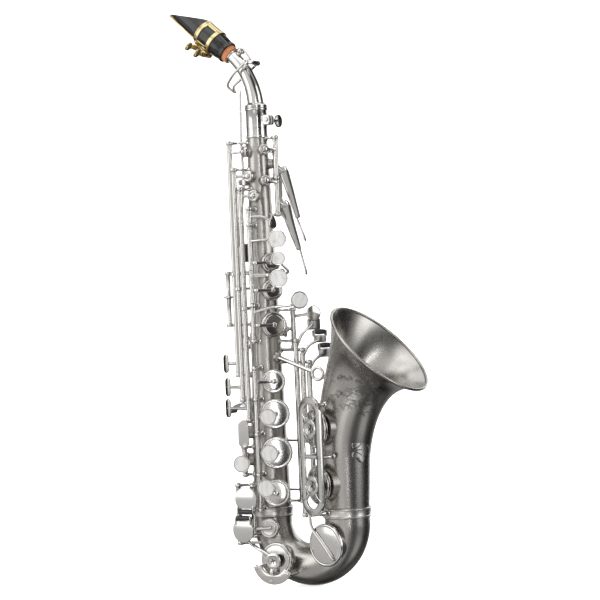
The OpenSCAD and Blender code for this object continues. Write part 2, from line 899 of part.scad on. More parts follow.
lig_x0 = 13;
lig_len = 17;
lig_r = mouth_r + 0.12;
lug_z = lig_r + 3.1;
LIG_SCREWS = [lig_x0 + 3.5, lig_x0 + lig_len - 3.5];
module ligature() {
    color(gold)
        on_mouthpiece()
            difference() {
                union() {
                    rotate([0, 90, 0])
                        rotate_extrude($fn = 64)
                            polygon([[lig_r, lig_x0], [lig_r + 1, lig_x0], [lig_r + 1, lig_x0 + 1],
                                [lig_r + 0.7, lig_x0 + 1.2], [lig_r + 0.7, lig_x0 + lig_len - 1.2],
                                [lig_r + 1, lig_x0 + lig_len - 1], [lig_r + 1, lig_x0 + lig_len],
                                [lig_r, lig_x0 + lig_len]]);
                    for (x = LIG_SCREWS)
                        translate([x, 0, lug_z])
                            for (s = [-1, 1])
                                translate([0, s * 3.4, -0.4])
                                    rotate([90, 0, 0])
                                        cylinder(h = 4, r = 2.8, center = true, $fn = 32);
                }
                for (x = LIG_SCREWS)
                    translate([x, 0, lug_z])
                        rotate([90, 0, 0])
                            cylinder(h = 30, r = 1.25, center = true, $fn = 32);
                // Three long slots across the top
                for (a = [-50, 0, 50])
                    rotate([a, 0, 0])
                        translate([lig_x0 + 3, -1.2, -20])
                            cube([lig_len - 6, 2.4, 16]);
                rotate([0, 90, 0])
                    translate([0, 0, lig_x0 - 1])
                        cylinder(h = lig_len + 2, r = lig_r);
            }
}

module ligature_screw(x) {
    color(gold)
        on_mouthpiece()
            translate([x, 0, lug_z])
                rotate([90, 0, 0]) {
                    translate([0, 0, -6])
                        cylinder(h = 19, r = 1.2, $fn = 32);
                    translate([0, 0, 6])
                        cylinder(h = 3, r = 1.9, $fn = 32);
                    translate([0, 0, 14])
                        rotate([0, 90, 0])
                            cylinder(h = 1.6, r = 3.9, center = true, $fn = 32);
                }
}

module ligature_screw_front() {
    ligature_screw(LIG_SCREWS[1]);
}

module ligature_screw_rear() {
    ligature_screw(LIG_SCREWS[0]);
}

module neck_screw() {
    color(bright)
        translate([lug_x, 0, body_len + 6])
            rotate([-90, 0, 0]) {
                translate([0, 0, -5])
                    cylinder(h = 18, r = 1.3, $fn = 32);
                translate([0, 0, 4.1])
                    cylinder(h = 2.2, r = 2.2, $fn = 32);
                translate([0, 0, 15.5])
                    rotate([0, 90, 0])
                        cylinder(h = 2, r = 5.3, center = true, $fn = 48);
            }
}

// Ring key on the neck: its loop hangs beside the octave pin, its pad closes the pip
module neck_octave_key() {
    hook = [-18.5, 0, 336];
    side = 9.4;
    color(bright) {
        difference() {
            union() {
                translate(neck_pivot)
                    rotate([90, 0, 0])
                        cylinder(h = 2 * side + 2, r = 2, center = true, $fn = 32);
                bar(neck_pivot, neck_top(46, 5 + 1.6 + cup_h + 1.1), 2);
                for (s = [-1, 1])
                    bent_bar([neck_pivot + [0, s * side, 0], [-14, s * side, 350], [-24, s * 5, 341],
                        hook + [-1, s * 1, 0]], 2.2);
            }
            translate(neck_pivot)
                rotate([90, 0, 0])
                    cylinder(h = 40, r = rod_r + run_gap, center = true, $fn = 32);
        }
        translate(neck_pip)
            rotate([0, 90 - 46, 0])
                translate([0, 0, 1.6])
                    cup_shell(3.4);
    }
    translate(neck_pip)
        rotate([0, 90 - 46, 0])
            translate([0, 0, 1.6])
                pad(3.4);
}

module octave_lever() {
    p = octave_pivot;
    color(bright)
        difference() {
            union() {
                translate(p)
                    rotate([90, 0, 0])
                        cylinder(h = 5.8, r = tube_r, center = true, $fn = 32);
                bent_bar([p, [-17.5, 0, 241], [-21, 0, 228]], 2.6);
                bent_bar([p, [-15.5, 0, 300], [-14.2, 0, 336]], 2.2);
                // Curved thumb plate round the top of the rest
                translate([-20.5, 0, 219.5])
                    rotate([0, 8, 0])
                        oblong(18, 12, 1.8);
            }
            translate(p)
                rotate([90, 0, 0])
                    cylinder(h = 20, r = rod_r + run_gap, center = true, $fn = 32);
        }
}

// ---- Keys
module simple_key(hinge, hole, z0, z1, arm_z = undef, via = undef) {
    color(bright)
        key_metal(hinge, z0, z1) {
            on_hole(hole)
                cup_shell(hole[2]);
            cup_arm(hinge, hole, arm_z, via);
            children();
        }
    on_hole(hole)
        pad(hole[2]);
}

module body_octave_key() {
    simple_key(body_octave_hinge, th_octave, 280.2, 297.8);
}

module palm_touch(p, angle, tilt) {
    translate(p)
        rotate(angle)
            rotate([0, tilt, 0])
                oblong(22, 8.5, 2);
}

module palm_f_key() {
    simple_key(palm_hinge, th_palm_f, 265.5, 294.8) {
        bent_bar([at_z(polar(palm_hinge), 274), spot(21.5, 10, 269), spot(25, 30, 252),
            spot(31, 42, 232)], 3);
        palm_touch(spot(33, 42, 223), 42, -18);
    }
}

module palm_eb_key() {
    simple_key(palm_hinge, th_palm_eb, 236.2, 262.1, 260.5) {
        bent_bar([at_z(polar(palm_hinge), 246), spot(21.5, 10, 241), spot(24, 28, 226),
            spot(31, 43, 206)], 3);
        palm_touch(spot(34, 44, 196), 44, -12);
    }
}

module palm_d_key() {
    simple_key(palm_d_hinge, th_palm_d, 264.2, 284.8) {
        bent_bar([at_z(polar(palm_d_hinge), 273), spot(21.5, 74, 267), spot(27, 82, 250)], 3);
        palm_touch(spot(30, 82, 242), 82, -18);
    }
}

module front_f_key() {
    h = lh_hinge;
    color(bright)
        key_metal(h, 228.2, 237.8) {
            bent_bar([at_z(polar(h), 233), [12, -16.5, 233], [18.5, -13, 228]], 2.4);
            translate([18.8, -13.4, 228.4])
                rotate(-46)
                    rotate([0, 6, 0])
                        oblong(12, 8, 1.8);
        }
}

lh_pearl = [21.4, -10.9];
lh_pearl_angle = -46;
b_pearl = [at_z(lh_pearl, 214.5), 7.5];
bis_pearl = [[22.2, -11.2, 199], 5.7];
a_pearl = [at_z(lh_pearl, 183), 7.5];
g_pearl = [[31, 2.5, 165], 7.1];

module pearl_metal(touch, angle) {
    at_touch(touch[0], angle)
        pearl_holder(touch[1]);
}

module pearl_disc(touch, angle) {
    at_touch(touch[0], angle)
        pearl(touch[1]);
}

function behind(touch, angle, d) = touch[0] - d * [cos(angle), sin(angle), 0];

module b_key() {
    swung(lh_hinge, -stack_open) {
        simple_key(lh_hinge, th_b, 190.2, 224.8) {
            bent_bar([at_z(polar(lh_hinge), 213.5), [12.5, -17.2, 214],
                behind(b_pearl, lh_pearl_angle, 1.6)], 2.6);
            pearl_metal(b_pearl, lh_pearl_angle);
        }
        pearl_disc(b_pearl, lh_pearl_angle);
    }
}

module bis_key() {
    swung(lh_hinge, -stack_open) {
        simple_key(lh_hinge, th_bis, 184.2, 189.8, 186, [[10.1, -14.2], [17.4, -6.5]]) {
            bent_bar([[17.6, 1, 186], [24.5, -0.5, 188],
                behind(bis_pearl, lh_pearl_angle, 1.8) - [0, 0, 2]], 2.4);
            pearl_metal(bis_pearl, lh_pearl_angle);
        }
        pearl_disc(bis_pearl, lh_pearl_angle);
    }
}

module a_key() {
    swung(lh_hinge, -stack_open) {
        simple_key(lh_hinge, th_a, 164, 183.8) {
            bar([14.8, -10.8, 174], behind(a_pearl, lh_pearl_angle, 1.8) - [0, 0, 2], 2.6);
            pearl_metal(a_pearl, lh_pearl_angle);
        }
        pearl_disc(a_pearl, lh_pearl_angle);
    }
}

module g_key() {
    swung(lh_hinge, -stack_open) {
        simple_key(lh_hinge, th_g, 135.2, 160.1) {
            bent_bar([at_z(polar(lh_hinge), 156.5), [13.5, -12.4, 160],
                behind(g_pearl, -40, 1.6) - [0, 0, 3.4]], 2.6);
            pearl_metal(g_pearl, -40);
        }
        pearl_disc(g_pearl, -40);
    }
}

g_sharp_touch = [33, 22, 154];
module g_sharp_key() {
    simple_key(g_sharp_hinge, th_g_sharp, 127.2, 155.8) {
        bar(at_z(polar(g_sharp_hinge), 152), g_sharp_touch, 2.6);
        translate(g_sharp_touch)
            rotate(-35)
                rotate([0, 90, 0])
                    cylinder(h = 1.8, r = 6.4, center = true);
    }
}

rh_pearl_angle = -61;
function rh_pearl(x, z, r) = [spot(24.6, x, z), r];
f_pearl = rh_pearl(-60, 73, 6.8);
e_pearl = rh_pearl(-60, 44, 7.2);
d_pearl = [spot(26.5, -68, 16.5), 7.2];

module f_sharp_cup() {
    swung(rh_hinge, -stack_open)
        simple_key(rh_hinge, th_f_sharp, 88.7, 110.3);
}

module stack_finger_key(hole, touch, z0, z1) {
    swung(rh_hinge, -stack_open) {
        simple_key(rh_hinge, hole, z0, z1) {
            bar(at_z(polar(rh_hinge), touch[0][2]), behind(touch, rh_pearl_angle, 1.8), 2.6);
            pearl_metal(touch, rh_pearl_angle);
        }
        pearl_disc(touch, rh_pearl_angle);
    }
}

module f_key() {
    stack_finger_key(th_f, f_pearl, 60.7, 85.3);
}

module e_key() {
    stack_finger_key(th_e, e_pearl, 28.7, 57.3);
}

module d_key() {
    stack_finger_key(th_d, d_pearl, 0.9, 25.3);
}

// Side key: a long hinge tube with its cup at the top and a finger plate at the bottom
module side_key(hinge, hole, z0, z1, touch) {
    simple_key(hinge, hole, z0, z1) {
        bar(at_z(polar(hinge), touch[2]), touch, 2.8);
        translate(touch)
            rotate(-118)
                oblong(15, 6.5, 2);
    }
}

module high_e_key() {
    side_key(high_e_hinge, th_high_e, 108.2, 291.8, [-29.5, -14.5, 116]);
}

module side_c_key() {
    side_key(side_c_hinge, th_side_c, 88.2, 269.8, [-28.5, -14.8, 97]);
}

module side_bb_key() {
    side_key(side_bb_hinge, th_side_bb, 72.2, 253.8, [-28.5, -15.5, 80]);
}

module high_f_sharp_key() {
    touch = [-8, -27.5, 60];
    simple_key(back_hinge, th_high_f, 50.2, 66.8) {
        bar(at_z(polar(back_hinge), 58), touch, 2.6);
        translate(touch)
            rotate(-75)
                oblong(22, 9, 1.8);
    }
}

module alt_f_sharp_key() {
    touch = [[-11, -27, 36], 6.9];
    simple_key(back_hinge, th_alt_f, 28.2, 46.8) {
        bar(at_z(polar(back_hinge), 36), behind(touch, -75, 0.9), 2.2);
        pearl_metal(touch, -75);
    }
    pearl_disc(touch, -75);
}

// ---- Low keys. The table for the left little finger has three plates and two rollers.
table_angle = -20;
c_sharp_touch = [30, 27, 145];
low_b_touch = [33, 28, 133];
low_bb_touch = [37, 29, 121.5];
roller_r = 2.2;
table_roller_len = 11;
pinky_roller_len = 13;
pin_r = 0.7;
ear_t = 1;
ear_gap = 0.1;
b_roller_up = 5.6;    // roller's axis over the middle of its plate
bb_roller_up = 6.1;

module table_plate(p, length, height) {
    translate(p)
        rotate(table_angle)
            rotate([90, 0, 0])
                rotate([0, 90, 0])
                    linear_extrude(height = 1.8, center = true)
                        square([length, height], center = true);
}

module low_c_sharp_lever() {
    h = c_sharp_hinge;
    color(bright)
        key_metal(h, 5.7, 130.8) {
            bent_bar([at_z(polar(h), 126.5), [26, 14, 138], c_sharp_touch - [0, 2, 0]], 2.6);
            table_plate(c_sharp_touch, 13, 9);
            bar(at_z(polar(h), 8), [33, -6, 8], 2.4);
        }
}

module off_axis_cup(hole) {
    off_axis(hole)
        translate([0, 0, hole[3] + chimney_h])
            children();
}

// A point d above an off-axis cup's top: along is level, from its middle towards +x, and up is along z
function over_cup(hole, d, along = 0, up = 0) = hole[0]
    + (hole[3] + chimney_h + cup_h + d) * [cos(hole[1]), sin(hole[1]), 0]
    + along * [-sin(hole[1]), cos(hole[1]), 0] + [0, 0, up];

module far_key(hinge, hole, z0, z1, arm, arm_d) {
    color(bright)
        key_metal(hinge, z0, z1) {
            off_axis_cup(hole)
                cup_shell(hole[2]);
            bent_bar(arm, arm_d);
            children();
        }
    off_axis_cup(hole)
        pad(hole[2]);
}

module low_c_sharp_key() {
    far_key(c_sharp_key_hinge, th_low_cs, -3.8, 12.8,
        [at_z(polar(c_sharp_key_hinge), 2), [44, -18.5, -1], over_cup(th_low_cs, 1, -13, 14),
            over_cup(th_low_cs, 0.7), over_cup(th_low_cs, 0.7, 9, -11)], 2.6);
}

// Two ears beside a roller that lies along y, with holes for its pins
module roller_ears(length, reach) {
    difference() {
        for (s = [-1, 1])
            translate([0, s * (length / 2 + ear_gap + ear_t / 2), reach / 2])
                cube([3, ear_t, abs(reach) + 3], center = true);
        rotate([90, 0, 0])
            cylinder(h = 2 * length, r = pin_r + run_gap, center = true, $fn = 24);
    }
}

module low_b_key() {
    h = low_b_hinge;
    swung(h, -bell_key_open)
        far_key(h, th_low_b, 54.2, 122.8,
            [at_z(polar(h), low_b_z), over_cup(th_low_b, 0.8, -18), over_cup(th_low_b, 0.8, -6.5)], 2.8) {
            bent_bar([at_z(polar(h), 118.5), [29, 16, 128], low_b_touch - [0, 2, 1]], 2.6);
            table_plate(low_b_touch, 12, 6);
            translate(low_b_touch + [0, 0, b_roller_up])
                rotate(table_angle)
                    roller_ears(table_roller_len, -2.2);
        }
}

module low_bb_key() {
    h = low_bb_hinge;
    swung(h, -bell_key_open)
        far_key(h, th_low_bb, 14.2, 112.8,
            [at_z(polar(h), low_bb_z), over_cup(th_low_bb, 0.8, -18), over_cup(th_low_bb, 0.8, -6.5)], 2.8) {
            bent_bar([at_z(polar(h), 108.5), [34.5, 17, 117], low_bb_touch - [0, 2, 1]], 2.6);
            table_plate(low_bb_touch, 13, 7);
            translate(low_bb_touch + [0, 0, bb_roller_up])
                rotate(table_angle)
                    roller_ears(table_roller_len, -2.2);
        }
}

module roller(p, angle, length) {
    color(black)
        translate(p)
            rotate([0, 0, angle])
                rotate([90, 0, 0])
                    rotate_extrude($fn = 32)
                        polygon([[0, -length / 2 - ear_t], [pin_r, -length / 2 - ear_t], [pin_r, -length / 2],
                            [1.4, -length / 2], [roller_r * 0.85, -length / 2 + 0.5], [roller_r, 0],
                            [roller_r * 0.85, length / 2 - 0.5], [1.4, length / 2], [pin_r, length / 2],
                            [pin_r, length / 2 + ear_t], [0, length / 2 + ear_t]]);
}

function beside(p, dz, hinge) = let (h = at_z(polar(hinge), 0), v = p - h, a = -bell_key_open)
    h + [v[0] * cos(a) - v[1] * sin(a), v[0] * sin(a) + v[1] * cos(a), v[2] + dz];
b_roller_at = beside(low_b_touch, b_roller_up, low_b_hinge);
bb_roller_at = beside(low_bb_touch, bb_roller_up, low_bb_hinge);

module b_roller() {
    roller(b_roller_at, table_angle - bell_key_open, table_roller_len);
}

module bb_roller() {
    roller(bb_roller_at, table_angle - bell_key_open, table_roller_len);
}

pinky_y = -30.4;
eb_touch = [-6.5, pinky_y, 8];
c_touch = [-8.5, pinky_y, -16.5];
eb_roller_at = [-7, pinky_y, -1.9];
c_roller_at = [-8, pinky_y, -6.8];
pinky_r = 10;

// Half-oval plate for the right little finger; the flat side is towards the rollers
module pinky_plate(p, up) {
    translate(p)
        rotate([90, 0, 0])
            linear_extrude(height = 1.8, center = true)
                difference() {
                    circle(r = pinky_r);
                    translate([-20, up > 0 ? -20 - 7.4 : 7.4])
                        square([40, 20]);
                }
}

module low_eb_key() {
    h = low_eb_hinge;
    far_key(h, th_low_eb, -19.8, 16.3,
        [at_z(polar(h), -16), over_cup(th_low_eb, 0.8, -10.5), over_cup(th_low_eb, 0.95, 2, 0.4)], 2.6) {
        bar(at_z(polar(h), 9), [-4.5, pinky_y, 9], 2.6);
        pinky_plate(eb_touch, 1);
        translate(eb_roller_at)
            rotate(90)
                roller_ears(pinky_roller_len, 4);
    }
}

module low_c_key() {
    h = low_c_hinge;
    swung(h, -low_c_open)
        far_key(h, th_low_c, -26.5, 16.3,
            [at_z(polar(h), -22.5), over_cup(th_low_c, 1.6, -15, 9), over_cup(th_low_c, 0.9)], 2.8) {
            bar(at_z(polar(h), -20), c_touch + [-4, 0.4, 0], 2.6);
            pinky_plate(c_touch, -1);
            translate(c_roller_at)
                rotate(90)
                    roller_ears(pinky_roller_len, -4);
        }
}

module eb_roller() {
    roller(eb_roller_at, 90, pinky_roller_len);
}

function c_swing(p) = let (h = at_z(polar(low_c_hinge), 0), v = p - h, a = -low_c_open)
    h + [v[0] * cos(a) - v[1] * sin(a), v[0] * sin(a) + v[1] * cos(a), v[2]];

module c_roller() {
    roller(c_swing(c_roller_at), 90 - low_c_open, pinky_roller_len);
}

placed() body_tube();
placed() bow();
placed() bell();
placed() bow_tone_rings();
placed() bell_tone_rings();
placed() body_bow_ring();
placed() bell_bow_ring();
placed() neck_receiver();
placed() key_posts();
placed() hinge_rods();
placed() strap_ring();
placed() thumb_hook();
placed() thumb_rest();
placed() bell_brace();
placed() bell_foot_plate();
placed() bell_key_guard();
placed() low_c_guard();
placed() guard_bumpers();
placed() neck();
placed() neck_cork();
placed() neck_screw();
placed() neck_octave_key();
placed() octave_lever();
placed() body_octave_key();
placed() mouthpiece();
placed() reed();
placed() ligature();
placed() ligature_screw_front();
placed() ligature_screw_rear();
placed() palm_d_key();
placed() palm_eb_key();
placed() palm_f_key();
placed() front_f_key();
placed() b_key();
placed() bis_key();
placed() a_key();
placed() g_key();
placed() g_sharp_key();
placed() f_sharp_cup();
placed() f_key();
placed() e_key();
placed() d_key();
placed() high_e_key();
placed() side_c_key();
placed() side_bb_key();
placed() high_f_sharp_key();
placed() alt_f_sharp_key();
placed() low_c_sharp_lever();
placed() low_c_sharp_key();
placed() low_b_key();
placed() low_bb_key();
placed() low_eb_key();
placed() low_c_key();
placed() eb_roller();
placed() c_roller();
placed() b_roller();
placed() bb_roller();
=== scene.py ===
import json
import math
import random

import bmesh
import bpy
from mathutils import Matrix, Vector


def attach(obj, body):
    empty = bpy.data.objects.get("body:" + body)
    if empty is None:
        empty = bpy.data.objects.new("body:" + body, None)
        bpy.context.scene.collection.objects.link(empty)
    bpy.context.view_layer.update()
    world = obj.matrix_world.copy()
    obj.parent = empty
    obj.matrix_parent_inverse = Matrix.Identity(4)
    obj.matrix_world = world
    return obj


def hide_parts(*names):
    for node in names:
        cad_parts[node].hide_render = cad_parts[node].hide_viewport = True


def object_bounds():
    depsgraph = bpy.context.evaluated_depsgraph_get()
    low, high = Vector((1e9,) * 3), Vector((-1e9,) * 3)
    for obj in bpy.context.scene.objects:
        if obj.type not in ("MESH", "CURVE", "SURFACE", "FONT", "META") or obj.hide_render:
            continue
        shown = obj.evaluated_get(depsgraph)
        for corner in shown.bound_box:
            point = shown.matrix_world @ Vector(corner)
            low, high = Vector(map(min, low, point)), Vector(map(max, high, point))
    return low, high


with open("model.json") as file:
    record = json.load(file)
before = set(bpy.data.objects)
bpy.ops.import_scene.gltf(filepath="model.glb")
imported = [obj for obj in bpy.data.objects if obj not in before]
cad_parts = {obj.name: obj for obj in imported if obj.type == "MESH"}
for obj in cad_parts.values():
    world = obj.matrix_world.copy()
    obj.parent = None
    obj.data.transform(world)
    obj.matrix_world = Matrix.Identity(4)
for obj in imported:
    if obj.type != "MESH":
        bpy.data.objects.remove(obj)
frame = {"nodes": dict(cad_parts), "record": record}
cad_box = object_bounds()
nodes = frame["nodes"]
random.seed(7)

# ---------------------------------------------------------------- body-axis millimetres to the frame
RING_X, RING_Z = -19.5, 132.0


def F(x, y, z):
    """A point in body-axis millimetres as a point in the frame, in metres."""
    return Vector(((x - RING_X) / 1000, y / 1000, (z - RING_Z) / 1000))


# ---------------------------------------------------------------- materials
def new_mat(name):
    m = bpy.data.materials.new(name)
    m.use_nodes = True
    t = m.node_tree
    t.nodes.clear()
    out = t.nodes.new("ShaderNodeOutputMaterial")
    b = t.nodes.new("ShaderNodeBsdfPrincipled")
    t.links.new(b.outputs[0], out.inputs[0])
    return m, t, b


def link(t, a, b):
    t.links.new(a, b)


def coords(t, scale=(1, 1, 1)):
    tc = t.nodes.new("ShaderNodeTexCoord")
    mp = t.nodes.new("ShaderNodeMapping")
    mp.inputs["Scale"].default_value = scale
    link(t, tc.outputs["Object"], mp.inputs["Vector"])
    return mp.outputs[0]


def noise(t, vec, scale, detail=3.0, rough=0.55):
    n = t.nodes.new("ShaderNodeTexNoise")
    n.inputs["Scale"].default_value = scale
    n.inputs["Detail"].default_value = detail
    n.inputs["Roughness"].default_value = rough
    link(t, vec, n.inputs["Vector"])
    return n.outputs["Fac"]


def ramp(t, fac, stops):
    r = t.nodes.new("ShaderNodeValToRGB")
    e = r.color_ramp.elements
    while len(e) < len(stops):
        e.new(0.5)
    for k, (p, c) in enumerate(stops):
        e[k].position = p
        e[k].color = (*c, 1) if len(c) == 3 else (c[0], c[0], c[0], 1)
    link(t, fac, r.inputs[0])
    return r.outputs[0]


def span(t, fac, lo, hi, a=0.0, b=1.0):
    m = t.nodes.new("ShaderNodeMapRange")
    m.inputs["From Min"].default_value = a
    m.inputs["From Max"].default_value = b
    m.inputs["To Min"].default_value = lo
    m.inputs["To Max"].default_value = hi
    link(t, fac, m.inputs["Value"])
    return m.outputs[0]


def math_node(t, op, a, b):
    m = t.nodes.new("ShaderNodeMath")
    m.operation = op
    for k, v in enumerate((a, b)):
        if isinstance(v, (int, float)):
            m.inputs[k].default_value = v
        else:
            link(t, v, m.inputs[k])
    return m.outputs[0]


def mix(t, fac, a, b, blend="MIX"):
    m = t.nodes.new("ShaderNodeMix")
    m.data_type = "RGBA"
    m.blend_type = blend
    for s, v in ((0, fac), (6, a), (7, b)):
        if isinstance(v, tuple):
            m.inputs[s].default_value = (*v, 1)
        elif isinstance(v, (int, float)):
            m.inputs[s].default_value = v
        else:
            link(t, v, m.inputs[s])
    return m.outputs[2]


def bump(t, b, height, strength, distance):
    n = t.nodes.new("ShaderNodeBump")
    n.inputs["Strength"].default_value = strength
    n.inputs["Distance"].default_value = distance
    link(t, height, n.inputs["Height"])
    link(t, n.outputs[0], b.inputs["Normal"])
    return n


def crevice(t, dist):
    """An ambient occlusion mask, 0 in corners, 1 on open surfaces; it paints shade into corners."""
    a = t.nodes.new("ShaderNodeAmbientOcclusion")
    a.samples = 4
    a.inputs["Distance"].default_value = dist
    return a.outputs["AO"]


def metal(name, base, tarnish, rough, brush, brush_axis=2, brush_amount=0.0, fine=2600.0):
    """Silver, gold or steel, with brushing along an axis, tarnish, painted shade in crevices (partly standing
    for tarnish in hollows), worn edges and fine scratches.
    """
    m, t, b = new_mat(name)
    b.inputs["Metallic"].default_value = 1.0
    stretch = [1.0, 1.0, 1.0]
    stretch[brush_axis] = 0.02
    lines = noise(t, coords(t, stretch), fine, 2.0)
    cloud = noise(t, coords(t), 45.0, 4.0, 0.6)
    specks = noise(t, coords(t), 900.0, 2.0)
    soft = span(t, cloud, 0.0, 1.0, 0.35, 0.7)
    colour = mix(t, math_node(t, "MULTIPLY", soft, 0.22), base, tarnish)
    colour = mix(t, span(t, lines, 0.0, brush, 0.3, 0.75), colour, tuple(c * 0.55 for c in base))
    # Painted shade: the ambient occlusion mask darkens the base colour in corners and gaps, partly standing
    # for tarnish in hollows, and also roughens them.
    crevice_shade_and_tarnish = span(t, crevice(t, 0.0022), 0.75, 0.0, 0.25, 0.85)
    colour = mix(t, crevice_shade_and_tarnish, colour, tuple(c * 0.32 for c in tarnish))
    link(t, colour, b.inputs["Base Color"])
    r = math_node(t, "ADD", span(t, cloud, rough * 0.93, rough * 1.12, 0.3, 0.7),
                  span(t, specks, -0.02, 0.05, 0.3, 0.7))
    r = math_node(t, "ADD", r, span(t, lines, 0.0, brush_amount, 0.3, 0.75))
    r = math_node(t, "ADD", r, math_node(t, "MULTIPLY", crevice_shade_and_tarnish, 0.25))
    link(t, r, b.inputs["Roughness"])
    bump(t, b, lines, 0.09 if brush_amount else 0.03, 0.00005)
    return m


MATS = {}
MATS["silver_body"] = metal("satin_silver", (0.57, 0.555, 0.53), (0.45, 0.42, 0.38), 0.24, 0.22, 2, 0.08)
MATS["silver_keys"] = metal("bright_silver", (0.79, 0.78, 0.76), (0.56, 0.52, 0.46), 0.11, 0.05, 2, 0.0)
MATS["steel_rod"] = metal("ground_steel", (0.60, 0.60, 0.61), (0.40, 0.38, 0.35), 0.22, 0.2, 2, 0.08)
MATS["gold_plate"] = metal("gold_plate", (0.80, 0.66, 0.36), (0.50, 0.38, 0.17), 0.13, 0.12, 2, 0.03)


def leather():
    m, t, b = new_mat("kid_leather")
    v = coords(t)
    grain = t.nodes.new("ShaderNodeTexVoronoi")
    grain.inputs["Scale"].default_value = 1900.0
    link(t, v, grain.inputs["Vector"])
    n = noise(t, v, 260.0, 4.0)
    c = ramp(t, n, [(0.3, (0.10, 0.075, 0.055)), (0.7, (0.20, 0.155, 0.12))])
    link(t, c, b.inputs["Base Color"])
    link(t, span(t, n, 0.5, 0.72), b.inputs["Roughness"])
    bump(t, b, grain.outputs["Distance"], 0.5, 0.00012)
    return m


def felt():
    m, t, b = new_mat("pressed_felt")
    v = coords(t)
    n = noise(t, v, 2600.0, 6.0, 0.75)
    link(t, ramp(t, n, [(0.3, (0.008, 0.008, 0.009)), (0.75, (0.045, 0.043, 0.045))]), b.inputs["Base Color"])
    b.inputs["Roughness"].default_value = 0.95
    b.inputs["Sheen Weight"].default_value = 0.5
    bump(t, b, n, 0.8, 0.0003)
    return m


def cork():
    m, t, b = new_mat("cork")
    v = coords(t)
    cells = t.nodes.new("ShaderNodeTexVoronoi")
    cells.inputs["Scale"].default_value = 1300.0
    link(t, v, cells.inputs["Vector"])
    pores = noise(t, coords(t, (1, 1, 0.4)), 620.0, 3.0, 0.7)
    c = ramp(t, cells.outputs["Color"], [(0.1, (0.27, 0.09, 0.03)), (0.9, (0.44, 0.17, 0.065))])
    c = mix(t, span(t, pores, 0.85, 0.0, 0.28, 0.42), c, (0.10, 0.04, 0.02))
    link(t, c, b.inputs["Base Color"])
    b.inputs["Roughness"].default_value = 0.78
    bump(t, b, math_node(t, "ADD", cells.outputs["Distance"], pores), 0.5, 0.0002)
    return m


def ebonite():
    m, t, b = new_mat("ebonite")
    v = coords(t)
    n = noise(t, v, 70.0, 5.0)
    hair = noise(t, coords(t, (1, 1, 0.05)), 1800.0, 2.0)
    link(t, ramp(t, n, [(0.3, (0.003, 0.003, 0.0035)), (0.75, (0.009, 0.0085, 0.008))]),
         b.inputs["Base Color"])
    link(t, math_node(t, "ADD", span(t, n, 0.05, 0.12), span(t, hair, 0.0, 0.05, 0.5, 0.8)),
         b.inputs["Roughness"])
    b.inputs["Coat Weight"].default_value = 0.35
    b.inputs["Coat Roughness"].default_value = 0.08
    bump(t, b, hair, 0.05, 0.00005)
    return m


def plastic():
    m, t, b = new_mat("black_plastic")
    v = coords(t)
    n = noise(t, v, 500.0, 4.0)
    link(t, ramp(t, n, [(0.3, (0.012, 0.012, 0.013)), (0.75, (0.03, 0.03, 0.031))]), b.inputs["Base Color"])
    link(t, span(t, n, 0.22, 0.38), b.inputs["Roughness"])
    bump(t, b, n, 0.1, 0.00008)
    return m


def cane():
    m, t, b = new_mat("cane")
    fibres = noise(t, coords(t, (0.06, 1, 0.06)), 2600.0, 3.0)
    n = noise(t, coords(t), 90.0, 3.0)
    c = ramp(t, fibres, [(0.3, (0.60, 0.40, 0.17)), (0.7, (0.83, 0.66, 0.38))])
    link(t, mix(t, math_node(t, "MULTIPLY", n, 0.3), c, (0.45, 0.27, 0.10)), b.inputs["Base Color"])
    b.inputs["Roughness"].default_value = 0.55
    bump(t, b, fibres, 0.3, 0.0001)
    return m


def pearl():
    m, t, b = new_mat("mother_of_pearl")
    v = coords(t)
    swirl = noise(t, v, 160.0, 2.0)
    w = t.nodes.new("ShaderNodeTexWave")
    w.inputs["Scale"].default_value = 60.0
    w.inputs["Distortion"].default_value = 14.0
    w.inputs["Detail"].default_value = 3.0
    link(t, v, w.inputs["Vector"])
    c = ramp(t, w.outputs["Fac"], [(0.0, (0.34, 0.335, 0.325)), (0.45, (0.41, 0.405, 0.395)),
                                   (0.75, (0.37, 0.38, 0.38)), (1.0, (0.42, 0.405, 0.39))])
    c = mix(t, span(t, swirl, 0.0, 0.45, 0.4, 0.7), c, (0.40, 0.39, 0.385))
    link(t, c, b.inputs["Base Color"])
    link(t, span(t, swirl, 0.12, 0.24), b.inputs["Roughness"])
    b.inputs["Coat Weight"].default_value = 0.35
    b.inputs["Coat Roughness"].default_value = 0.05
    b.inputs["Subsurface Weight"].default_value = 0.12
    b.inputs["Subsurface Scale"].default_value = 0.001
    return m


MATS.update(pad_leather=leather(), felt=felt(), cork=cork(), ebonite=ebonite(), black_plastic=plastic(),
            cane=cane(), pearl=pearl())

MATS["silver_bow"] = metal("satin_silver_bow", (0.57, 0.555, 0.53), (0.45, 0.42, 0.38), 0.23, 0.18, 1, 0.07)
MATS["silver_bell"] = metal("satin_silver_bell", (0.57, 0.555, 0.53), (0.45, 0.42, 0.38), 0.22, 0.18, 1, 0.07)
MATS["silver_ring"] = metal("satin_silver_ring", (0.85, 0.835, 0.81), (0.62, 0.58, 0.53), 0.24, 0.16, 2, 0.06)
MATS["engraved"] = metal("engraved_line", (0.20, 0.195, 0.185), (0.14, 0.13, 0.12), 0.40, 0.2, 2, 0.06)
# Painted shade: a near-black metal laid over the foot plate where its slits are, standing for the shade
# inside them.
MATS["dark_slit"] = metal("painted_slit_shade", (0.10, 0.095, 0.09), (0.06, 0.05, 0.05), 0.5, 0.2, 2, 0.05)
MATS["spring_steel"] = metal("blued_steel", (0.16, 0.18, 0.24), (0.12, 0.10, 0.10), 0.25, 0.1, 2, 0.05)

SLOT_OF = {}
for row in frame["record"]["subparts"]:
    SLOT_OF[row["node"]] = row["material_slot"]

PEARL_KEYS = ("b_key", "bis_key", "a_key", "g_key", "f_key", "e_key", "d_key", "alt_f_sharp_key")
NO_PAD = ("front_f_key", "low_c_sharp_lever", "octave_lever")


